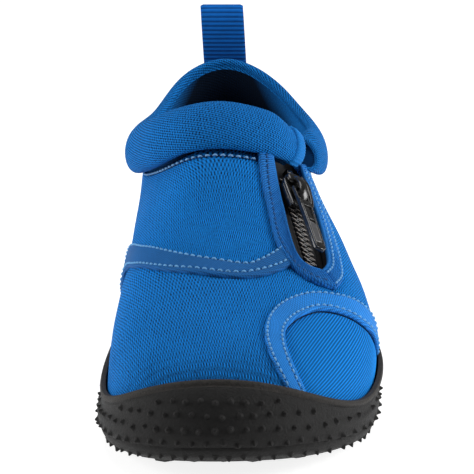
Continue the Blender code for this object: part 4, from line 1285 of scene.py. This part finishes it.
def inner_layer(name, inset, low, high, finish, spacing, slot):
    """Layer inside the shoe that follows the sole's outline and toe spring."""
    q = np.arange(260) * TURN / 260
    border = outline(q, inset)[:, :2]
    flat, _plan, triangles, closed = triangulated(border, spacing, scale=np.ones(2), rings=(0.5, 1.2))
    edge = polyline_distance(flat, closed)
    roll = 0.35 * np.clip(1 - edge / 0.9, 0, 1) ** 2
    top = np.column_stack([flat, spring(flat[:, 1]) + high - roll])
    bottom = np.column_stack([flat, spring(flat[:, 1]) + low])
    points, faces = doubled(top, bottom, triangles)
    piece(name, points, faces, finish, slot, coords=np.concatenate([flat, flat]))


# ---------------------------------------------------------------- zip

def zip_frame():
    """Origin at the chain's foot, and unit axes: across (x), along the chain (y), out of it (z)."""
    ends = []
    out = frame_at(upper_skin, np.array(ZIP_FACE[0]), np.array(ZIP_FACE[1]))[2]
    for q, t, depth, _ in (CHAIN_FOOT, CHAIN_HEAD):
        ends.append(under(upper_skin, q, t, depth))
    along = (ends[1] - ends[0]) / np.linalg.norm(ends[1] - ends[0])
    out = out - along * (out @ along)
    out = unit(out)
    across = np.cross(along, out)
    foot = ends[0] + across * CHAIN_FOOT[3]
    head = ends[1] + across * CHAIN_HEAD[3]
    along = (head - foot) / np.linalg.norm(head - foot)
    out = out - along * (out @ along)
    out = unit(out)
    return foot, np.cross(along, out), along, out, float(np.linalg.norm(head - foot))


def skin_height(axes, x, y):
    """Height of the upper over the zip's plane."""
    origin, across, along, out, _ = axes
    q, t = 1.5 + x * 0.05, 0.66 + y * 0.006
    for _ in range(7):
        a, b, _n = frame_at(upper_skin, q, t)
        gone = upper_skin(q, t) - origin
        error = np.array([gone @ across - x, gone @ along - y])
        jacobian = np.array([[a @ across, b @ across], [a @ along, b @ along]])
        step = np.linalg.solve(jacobian, error)
        q, t = q - step[0], t - step[1]
    return float((upper_skin(q, t) - origin) @ out)


def grown(outline_points, distance):
    """A closed (x, y) outline, counted anticlockwise, moved outwards."""
    p = np.asarray(outline_points, float)
    ahead = np.roll(p, -1, 0) - p
    ahead = unit(ahead)
    back = np.roll(ahead, 1, 0)
    n1 = np.stack([back[:, 1], -back[:, 0]], -1)
    n2 = np.stack([ahead[:, 1], -ahead[:, 0]], -1)
    both = n1 + n2
    return p + both * (distance / np.maximum(1 + (n1 * n2).sum(1), 0.4))[:, None]


def rounded_prism(outline_points, low, high, bevel, steps=3):
    """Outline pulled along z, its two rims rounded. Returns points and faces."""
    p = np.asarray(outline_points, float)
    area = np.sum(p[:, 0] * np.roll(p[:, 1], -1) - np.roll(p[:, 0], -1) * p[:, 1])
    if area < 0:
        p = p[::-1]
    rings = []
    for angle in np.linspace(math.pi / 2, 0, steps):
        inset = bevel * (1 - math.cos(angle))
        rings.append((grown(p, -inset), low + bevel * (1 - math.sin(angle))))
    for angle in np.linspace(0, math.pi / 2, steps):
        inset = bevel * (1 - math.cos(angle))
        rings.append((grown(p, -inset), high - bevel * (1 - math.sin(angle))))
    points = np.concatenate([np.column_stack([r, np.full(len(r), z)]) for r, z in rings])
    return points, ring_faces(len(rings), len(p))


def placed(points, axes, origin=None):
    foot, across, along, out, _ = axes
    start = foot if origin is None else origin
    p = np.asarray(points, float)
    return start + p[..., :1] * across + p[..., 1:2] * along + p[..., 2:3] * out


def parting(y, side):
    """How far the open chain above the slider leans away from its centre line."""
    beyond = max(0.0, y - 47.0)
    return side * (0.055 if side < 0 else 0.02) * beyond**2


def zip_parts(cloth, plastic, tooth_finish, gusset_shade):
    axes = zip_frame()
    foot, across, along, out, length = axes
    teeth = int((length - 3) // TOOTH_PITCH)
    shape = np.array([
        (2.3, 0.72), (1.3, 0.76), (0.75, 0.66), (0.3, 0.46), (-0.25, 0.52), (-0.6, 0.42),
        (-0.72, 0.0), (-0.6, -0.42), (-0.25, -0.52), (0.3, -0.46), (0.75, -0.66), (1.3, -0.76),
        (2.3, -0.72), (2.5, -0.35), (2.5, 0.35),
    ])
    for name, side, start in (("front", -1, 0.8), ("rear", 1, 0.8 + TOOTH_PITCH / 2)):
        bag = Bag()
        for i in range(teeth):
            y = start + i * TOOTH_PITCH + 0.75
            lean = parting(y, side)
            outline_points = shape * (side, 1)
            points, faces = rounded_prism(outline_points, -1.55, 1.55, 0.3)
            points[:, 1] += points[:, 0] * side * 0.16
            bag.add(placed(points + (lean, y, 0), axes), faces, points[:, :2])
            # Painted highlight: a pale slanted line over each tooth's top stands in for the glint of light
            # on it.
            ridge = [(lean + side * 1.5 + x, y - 0.38 * x + 0.2, 1.5) for x in (-1.0, -0.5, 0, 0.5, 1.0)]
            bag.add(*tube_path(placed(ridge, axes), 0.19, 6), which=2)
        cord = [(side * 2.5 + parting(y, side), y, 0) for y in np.linspace(0, length, 90)]
        bag.add(*tube_path(placed(cord, axes), 0.7, 10), which=1)
        bag.piece("zip_teeth_" + name, tooth_finish,
                  slot="zip_plastic_black", sharp=35)

    for name, side, reach in (("front", -1, 12.0), ("rear", 1, 11.0)):
        distances = np.array([2.6, 3.2, 3.8, 4.2, 4.8, 5.4, 6.0, 6.8, 7.8, 9.0, reach])
        heights = np.linspace(-2.5, length - 0.3, 60)
        sampled = np.linspace(-2.5, length - 0.3, 12)
        hollow = np.array([[skin_height(axes, side * d, y) for y in sampled] for d in distances])
        top = []
        low = []
        for y in heights:
            row_top = []
            row_low = []
            for d, heights_at in zip(distances, hollow):
                sunk = float(np.interp(y, sampled, heights_at)) - NEOPRENE - TAPE_SUNK
                share = min(1.0, max(0.0, (d - 4.6) / 1.8))
                z = min(0.0, sunk) * share
                if d > 5:
                    z = min(z, sunk)
                fade = max(0.0, 1 - (d - 2.9) / 5)
                x = side * d + parting(y, side) * fade
                row_top.append((x, y, z + 0.3))
                row_low.append((x, y, z - 0.3))
            top.append(row_top)
            low.append(row_low)
        coords = np.array([[(d, y) for d in distances] for y in heights]).reshape(-1, 2)
        top, low = placed(np.array(top), axes), placed(np.array(low), axes)
        quads = grid_faces(*top.shape[:2])
        points, faces = doubled(top, low, quads)
        piece("zip_tape_" + name, points, faces, cloth, "zip_tape_black",
              coords=np.concatenate([coords, coords]))

    stop = [(-CHAIN_HALF, -2.3), (CHAIN_HALF, -2.3), (CHAIN_HALF, -0.35), (-CHAIN_HALF, -0.35)]
    bag = Bag(axes)
    bag.prism(stop, -1.5, 1.7, 0.5, 4)
    bag.piece("zip_bottom_stop", tooth_finish[0], "zip_plastic_black")
    for name, side in (("front", -1), ("rear", 1)):
        lean = parting(length + 1, side)
        clip = [(side * 0.7 + lean, length + 0.3), (side * 3.2 + lean, length + 0.3),
                (side * 3.2 + lean, length + 2.1), (side * 0.7 + lean, length + 2.1)]
        bag = Bag(axes)
        bag.prism(clip, -1.5, 1.5, 0.4, 4)
        bag.piece("zip_top_stop_" + name, tooth_finish[0], "zip_plastic_black")
    # The gusset takes the black zip cloth: painted shade, a dark sheet standing in for the shadowed hollow
    # behind the zip.
    gusset(gusset_shade)
    centre = foot + along * SLIDER_REST
    slider(axes, centre, plastic)
    lift = math.radians(TAB_LIFT)
    low_along = along * math.cos(lift) - out * math.sin(lift)
    low_out = out * math.cos(lift) + along * math.sin(lift)
    tab_axes = (None, across, low_along + TAB_SKEW * across, low_out, None)
    pull_tab(tab_axes, centre + out * PIVOT_HEIGHT, plastic)


def gusset(finish):
    """Soft tongue behind the zip, hollow behind the slider, with soft upright folds."""
    rows, columns = 56, 48
    h = np.linspace(0, 1, rows)[:, None]
    c = np.linspace(0, 1, columns)[None]
    q = 0.62 + 2.0 * c + 0 * h
    pocket = np.sin(math.pi * c) ** 0.6
    fold = 0.35 * np.sin(c * 19.0 + 2.0 * h) * pocket
    low = np.clip(h / 0.72, 0, 1)
    t = 0.545 + (0.98 - 0.545) * low + 0 * c
    rise = np.clip(h / 0.16, 0, 1)
    depth = 4.6 + 4.4 * pocket * rise + fold
    lift = (ring(RIM, q) - ring(column(1), q)) * (0.86 * np.clip((h - 0.72) / 0.28, 0, 1))[..., None]
    outer = under(upper_skin, q, t, depth) + lift
    inner = under(upper_skin, q, t, depth + 1.2) + lift
    quads = grid_faces(rows, columns)
    points, faces = doubled(outer, inner, quads)
    coords = np.stack([c * 52 + 0 * h, h * 60 + 0 * c], -1).reshape(-1, 2)
    piece("zip_gusset", points, faces, finish, coords=np.concatenate([coords, coords]), slot="gusset_blue")


def slider(axes, centre, plastic):
    """Moulded slider: two shaped plates joined by a post, side walls and a low bridge."""
    bag = Bag(axes, centre)
    plan = [(-3.5, -7.3), (-2.7, -7.6), (3.4, -7.6), (4.5, -7.3), (5.1, -4.0), (5.5, -0.5),
            (5.8, 3.2), (5.6, 5.8), (4.8, 7.6), (2.9, 9.3), (-1.6, 9.3), (-3.3, 7.8), (-4.2, 5.8),
            (-4.4, 3.2), (-4.2, -0.5), (-3.9, -4.0)]
    for low, high in ((3.1, 5.0), (-3.5, -1.95)):
        bag.prism(plan, low, high, 0.55, 5)
    for side in (-1, 1):
        wall = [(side * 3.45, -7.2), (side * 3.75, -7.3), (side * 4.2, -4.0), (side * 4.55, -0.5),
                (side * 4.7, 3.2), (side * 4.4, 5.0), (side * 3.7, 5.0), (side * 3.6, -0.5)]
        for low, high in ((0.65, 4.2), (-2.6, -0.65)):
            bag.prism(wall, low, high, 0.18)
    post = [(-0.4, 3.6), (0.4, 3.6), (0.4, 6.6), (-0.4, 6.6)]
    bag.prism(post, -2.4, 3.6, 0.1)
    cap = []
    for turn in np.arange(28) * math.tau / 28:
        x, y = (math.copysign(abs(v) ** 0.7, v) for v in (math.cos(turn), math.sin(turn)))
        cap.append((0.2 + 3.6 * x, 6.0 + 2.6 * y))
    bag.prism(cap, 4.8, 6.6, 0.9, 6)
    cheek = [(3.3, -6.5), (4.0, -3.0), (4.2, 1.0), (4.0, 5.0), (2.9, 8.2), (3.0, 9.0), (4.8, 7.4),
             (5.6, 5.6), (5.8, 3.2), (5.5, -0.5), (5.1, -4.0), (4.4, -7.1)][::-1]
    bag.prism(cheek, 4.4, 6.4, 0.35, 5)
    # Painted highlights: bright lines along the slider's right and left top edges.
    bag.highlight_line([(3.4, -6.3, 6.3), (4.15, -3.0, 6.35), (4.35, 1.0, 6.4), (4.15, 5.0, 6.4),
                   (3.1, 8.1, 6.3)])
    bag.highlight_line([(-4.1, 5.6, 4.85), (-4.3, 3.2, 4.85), (-4.1, -0.5, 4.85), (-3.8, -4.0, 4.85),
                   (-3.4, -7.1, 4.85)])
    shares = np.linspace(0, math.pi, 25)
    outer = np.array([(0.3 + math.cos(a) * 7.4, 3.6 + math.sin(a) * 5.5) for a in shares])
    inner = np.array([(0.3 + math.cos(a) * 5.7, 3.8 + math.sin(a) * 3.7) for a in shares])
    rings = []
    for o, i in zip(outer, inner):
        section = []
        for x, f in ((-1.25, 0.0), (-1.7, 0.3), (-1.7, 0.75), (-1.1, 1.0), (1.1, 1.0), (1.7, 0.75),
                     (1.7, 0.3), (1.25, 0.0)):
            y, z = i + (o - i) * f
            section.append((x, y, z))
        rings.append(section)
    points = np.array(rings).reshape(-1, 3)
    bag.add(placed(points, axes, centre), ring_faces(len(rings), 8), points[:, :2])
    bag.piece("slider_body", plastic, body="slider",
              slot="zip_plastic_black", sharp=45)


def pull_tab(axes, pivot, plastic):
    """Tab hanging from the bridge along -y, with a rim round a sunk plate near its end."""
    bag = Bag(axes, pivot)
    start, end = -7.2, -TAB_LENGTH
    narrow, wide = TAB_HALF - 0.6, TAB_HALF - 0.95

    plate = [(-narrow, start), (-wide, -18), (-wide, end + 1.8), (-wide + 0.6, end + 0.5),
             (-wide + 1.8, end), (wide - 1.8, end), (wide - 0.6, end + 0.5), (wide, end + 1.8),
             (wide, -18), (narrow, start)]
    bag.prism(plate, -0.9, 0.45, 0.35, 4)
    for side in (-1, 1):
        rim = [(side * narrow, start), (side * wide, -18), (side * wide, end + 1.8),
               (side * (wide - 0.75), end + 1.8), (side * (wide - 0.75), -18),
               (side * (narrow - 0.75), start)]
        bag.prism(rim, 0.1, 0.9, 0.25, 4)
        arm = [(side * 1.95, start - 1), (side * narrow, start - 1), (side * (TAB_HALF - 0.1), 0.4),
               (side * 2.05, 0.4)]
        bag.prism(arm, -0.75, 0.75, 0.3, 4)
    bag.prism([(-wide + 1.4, end), (-wide + 0.1, end + 1.2), (-wide + 0.1, end + 2.6),
               (wide - 0.1, end + 2.6), (wide - 0.1, end + 1.2), (wide - 1.4, end)], 0.1, 0.95, 0.25, 4)
    bag.prism([(-narrow, start), (-narrow, -10.4), (narrow, -10.4), (narrow, start)], 0.1, 0.95, 0.25, 4)
    bag.prism([(-wide + 0.3, -17.4), (-wide + 0.3, -18.6), (wide - 0.3, -18.6), (wide - 0.3, -17.4)],
              0.1, 0.9, 0.25, 4)
    bag.prism([(-1.4, -31.6), (1.4, -31.6), (1.4, -20.0), (-1.4, -20.0)], 0.3, 0.62, 0.15, 4, which=1)
    rod = [(x, 0, 0) for x in np.linspace(-TAB_HALF + 0.05, TAB_HALF - 0.05, 8)]
    bag.add(*tube_path(placed(rod, axes, pivot), 0.8, 12))
    # Painted highlights: bright lines along the tab's rims, round its end and round its sunk plate.
    for side in (-1, 1):
        for inset, height in ((0.1, 0.78), (0.66, 0.86)):
            line = [(side * (narrow - inset), start + 0.5, height), (side * (wide - inset), -18, height),
                    (side * (wide - inset), end + 1.9, height)]
            if side < 0 or inset < 0.5:
                bag.highlight_line(line, 0.11)
    bag.highlight_line([(-wide + 0.5, end + 0.75, 0.8), (-wide + 1.7, end + 0.12, 0.8),
                   (wide - 1.7, end + 0.12, 0.8), (wide - 0.5, end + 0.75, 0.8)], 0.11)
    plate_edge = [(-1.35, -31.5), (1.35, -31.5), (1.35, -20.1), (-1.35, -20.1), (-1.35, -31.5)]
    bag.highlight_line([(x, y, 0.62) for x, y in plate_edge], 0.11)
    bag.piece("pull_tab", plastic, body="pull_tab",
              slot="zip_plastic_black", sharp=45)


# ---------------------------------------------------------------- heel loop

def webbing_strip(path, normals, x_low, x_high, lean=0.0):
    """Ribbed webbing along a (y, z) path: closed sections with woven edges."""
    run = lengths(path)
    half = 0.5 * WEBBING
    shares = np.linspace(0, 1, 17)
    sections = []
    coords = []
    for p, n, r in zip(path, normals, run):
        rib = 0.11 * math.cos(math.tau * r / LOOP_RIB)
        section = []
        for side in (1, -1):
            for f in shares if side > 0 else shares[::-1]:
                x = x_low + (x_high - x_low) * f
                edge = math.sqrt(1 - (1 - min(1.0, min(f, 1 - f) * (x_high - x_low) / 0.6)) ** 2)
                h = side * ((half + rib) * (0.35 + 0.65 * edge))
                section.append((x + lean * (p[1] - LOOP_PIVOT[2]), p[0] + n[0] * h, p[1] + n[1] * h))
                coords.append((x, r))
        sections.append(section)
    points = np.array(sections).reshape(-1, 3)
    return points, ring_faces(len(sections), 2 * len(shares)), np.array(coords)


def heel_loop(webbing, thread, hole_shade):
    _, y, z = LOOP_PIVOT
    tall = (LOOP_TOP - z) * 0.5
    path = []
    for angle in np.linspace(math.pi * 1.47, -math.pi * 0.47, 260):
        belly = 0.5 + 0.5 * math.sin(angle)
        half = 1.15 + 4.3 * belly**0.8 - 0.5 * WEBBING
        sign = 1 if math.cos(angle) > 0 else -1
        across = sign * max(0.5 * WEBBING + 0.05, abs(half * math.cos(angle)))
        if angle < math.pi and angle > 0:
            across = half * math.cos(angle)
        path.append((y + across, z + (tall - 0.5 * WEBBING) * (1 + math.sin(angle))))
    path = spread(np.array(path), 220)
    ahead = np.gradient(path, axis=0)
    ahead = unit(ahead)
    normals = np.stack([-ahead[:, 1], ahead[:, 0]], -1)
    points, faces, coords = webbing_strip(path, normals, *LOOP_X, lean=-0.06)
    piece("pull_loop", points, faces, webbing, "loop_webbing_blue", "heel_loop", coords, sharp=60)

    rises = np.linspace(0.12, 0.60, 70)
    skin = under(collar_skin, HEEL, rises, 0)
    path = np.stack([skin[:, 1] + 0.9 + 0.5 * WEBBING, skin[:, 2]], -1)
    ahead = np.gradient(path, axis=0)
    ahead = unit(ahead)
    normals = np.stack([-ahead[:, 1], ahead[:, 0]], -1)
    points, faces, coords = webbing_strip(path, normals, *LOOP_X)
    piece("loop_anchor", points, faces, webbing, coords=coords,
          slot="loop_webbing_blue", sharp=60)
    bag = Bag()
    outward = -normals if normals[35][0] < 0 else normals
    face = path + outward * (0.5 * WEBBING + 0.12)
    for x in (LOOP_X[0] + 1.6, LOOP_X[1] - 1.6):
        line = np.column_stack([np.full(len(face) - 12, x), face[6:-6]])
        up = np.column_stack([np.zeros(len(line)), outward[6:-6]])
        stitches(bag, line, up)
    for k in (6, 34, -7):
        line = np.array([(x, *face[k]) for x in np.linspace(LOOP_X[0] + 1.6, LOOP_X[1] - 1.6, 30)])
        stitches(bag, line, np.tile([0, *outward[k]], (30, 1)))
    bag.piece("anchor_stitches", [thread, hole_shade], "loop_webbing_blue", stands=False)


# ---------------------------------------------------------------- studio

def area_light(name, place, target, size, power):
    light = bpy.data.lights.new(name, "AREA")
    light.shape = "RECTANGLE"
    light.size, light.size_y = size
    light.energy = power
    made = bpy.data.objects.new(name, light)
    made.location = place
    made.rotation_euler = (Vector(target) - Vector(place)).to_track_quat("-Z", "Y").to_euler()
    made.visible_camera = False
    bpy.context.scene.collection.objects.link(made)


def studio():
    scene = bpy.context.scene
    floor = bpy.data.meshes.new("floor")
    floor.from_pydata([(-9, -9, 0), (9, -9, 0), (9, 9, 0), (-9, 9, 0)], [], [(0, 1, 2, 3)])
    white = Finish("floor_white", roughness=0.9, specular=0.1)
    white.set("Base Color", (0.45, 0.45, 0.45))
    white.set("Emission Color", (1, 1, 1))
    white.set("Emission Strength", 0.84)
    floor.materials.append(white.material)
    made = bpy.data.objects.new("floor", floor)
    scene.collection.objects.link(made)

    world = bpy.data.worlds.new("studio")
    world.use_nodes = True
    nodes, links = world.node_tree.nodes, world.node_tree.links
    ambient = nodes["Background"]
    ambient.inputs["Strength"].default_value = 0.14
    backdrop = nodes.new("ShaderNodeBackground")
    backdrop.inputs["Color"].default_value = (1, 1, 1, 1)
    ambient.inputs["Color"].default_value = (1, 1, 1, 1)
    seen = nodes.new("ShaderNodeLightPath")
    choice = nodes.new("ShaderNodeMixShader")
    links.new(seen.outputs["Is Camera Ray"], choice.inputs[0])
    links.new(ambient.outputs[0], choice.inputs[1])
    links.new(backdrop.outputs[0], choice.inputs[2])
    links.new(choice.outputs[0], nodes["World Output"].inputs[0])
    scene.world = world
    area_light("softbox_right", (0.98, 0.0, 0.42), (0, 0, 0.05), (0.6, 0.6), 10.0)
    area_light("softbox_left", (-0.98, 0.0, 0.38), (0, 0, 0.05), (0.6, 0.6), 7.5)
    area_light("softbox_top", (0, 0.22, 1.0), (0, 0, 0.05), (0.6, 0.6), 4.6)
    scene.view_settings.view_transform = "Standard"

    camera = bpy.data.cameras.new("camera")
    camera.lens = 329.1
    camera.sensor_width = 36
    made = bpy.data.objects.new("camera", camera)
    made.location = (0, -1.46156, 0.39243)
    made.rotation_euler = (Vector((0, 0, 0.0501)) - made.location).to_track_quat("-Z", "Y").to_euler()
    scene.collection.objects.link(made)
    scene.camera = made


# ---------------------------------------------------------------- assembly

def assemble():
    knit = knit_finish("neoprene_knit", NEOPRENE_BLUE)
    ribbed = ribbed_finish("ribbed_knit", PATCH_BLUE)
    collar_knit = knit_finish("collar_knit", COLLAR_BLUE, wale=0.475, course=2.0, depth=1.0, relief=0.18,
                              cross=0.28)
    # The collar's inner face takes painted shade, darkening from the rim down.
    rim_lining = knit_finish("rim_lining", COLLAR_BLUE, wale=0.475, course=2.0, depth=0.6, cross=0.28,
                             shadow=rim_painted_shade)
    # The lining takes painted shade, going black deep in the heel and the toe.
    lining = knit_finish("lining_jersey", LINING_BLUE, course=0.6, depth=0.4, relief=0.06, sheen=0.0,
                         shadow=lining_painted_shade)
    core = foam_finish("neoprene_core", (0.012, 0.012, 0.014))
    # One tape colour in two copies: painted shade darkens it for the instep and heel seam tapes, painted
    # light brightens it for the patch tape.
    shaded_tape = tape_finish("seam_tape", shade(TAPE_BLUE, 0.78))
    lit_tape = tape_finish("lit_patch_tape", shade(TAPE_BLUE, 1.55))
    bright = tape_finish("ribbed_tape", shade(TAPE_BLUE, 1.3), pitch=0.5, ladder=LADDER_PITCH)
    # Painted shade for the dark discs between stitches.
    hole_shade = foam_finish("painted_hole_shade", HOLE_SHADE_BLUE)
    binding = tape_finish("binding_tape", shade(PATCH_BLUE, 1.1), pitch=0.5)
    pale = tape_finish("piping", shade(TAPE_BLUE, 1.25), pitch=0.45)
    thread = thread_finish("light_thread", THREAD_BLUE)
    seam_thread = thread_finish("seam_thread", SEAM_THREAD)
    dark_thread = thread_finish("dark_thread", shade(TAPE_BLUE, 0.55))
    webbing = webbing_finish("loop_webbing", LOOP_BLUE)
    rubber = rubber_finish("sole_rubber")
    lip = rubber_finish("rand_lip", (0.021, 0.0185, 0.0165))
    tread = rubber_finish("tread_rubber", (0.015, 0.015, 0.015))
    plastic = plastic_finish("zip_plastic", (0.006, 0.006, 0.0062))
    # Painted highlight colour for the bright lines along the slider's and tab's edges.
    edge_highlight = plastic_finish("painted_edge_highlight", (0.19, 0.185, 0.18), 0.3)
    # Painted highlight colour for the glint lines on the zip teeth.
    glint = plastic_finish("painted_tooth_glint", (0.40, 0.36, 0.33), 0.3)
    inlay = plastic_finish("tab_inlay", (0.055, 0.055, 0.06), 0.4)
    tooth = plastic_finish("zip_teeth", (0.004, 0.004, 0.004), 0.16, specular=0.9)
    cloth = woven_black_finish("zip_cloth")
    board = foam_finish("strobel_fibre", (0.08, 0.08, 0.09))
    foam = foam_finish("footbed_foam", (0.02, 0.02, 0.025))
    cover = knit_finish("footbed_cloth", (0.006, 0.03, 0.10), wale=0.7, course=0.8, depth=0.5, relief=0.08)

    neoprene(knit, ribbed, lining, core)
    tapes(shaded_tape, lit_tape, bright, thread, seam_thread, pale, dark_thread, hole_shade)
    collar(collar_knit, binding, rim_lining, lining, core)
    outsole(rubber, lip, tread)
    inner_layer("strobel_board", 7.9, 9.0, 10.4, board, 7.0, "insole_board")
    inner_layer("footbed", COVER_INSET, 10.7, 13.8, foam, 5.0, "footbed_foam")
    inner_layer("footbed_cover", COVER_INSET, COVER_LOW, COVER_TOP, cover, 5.0, "footbed_textile")
    # The gusset gets the black zip cloth as painted shade for the hollow behind the zip.
    zip_parts(cloth, [plastic, inlay, edge_highlight], [tooth, cloth, glint], cloth)
    heel_loop(webbing, thread, hole_shade)


assemble()
studio()
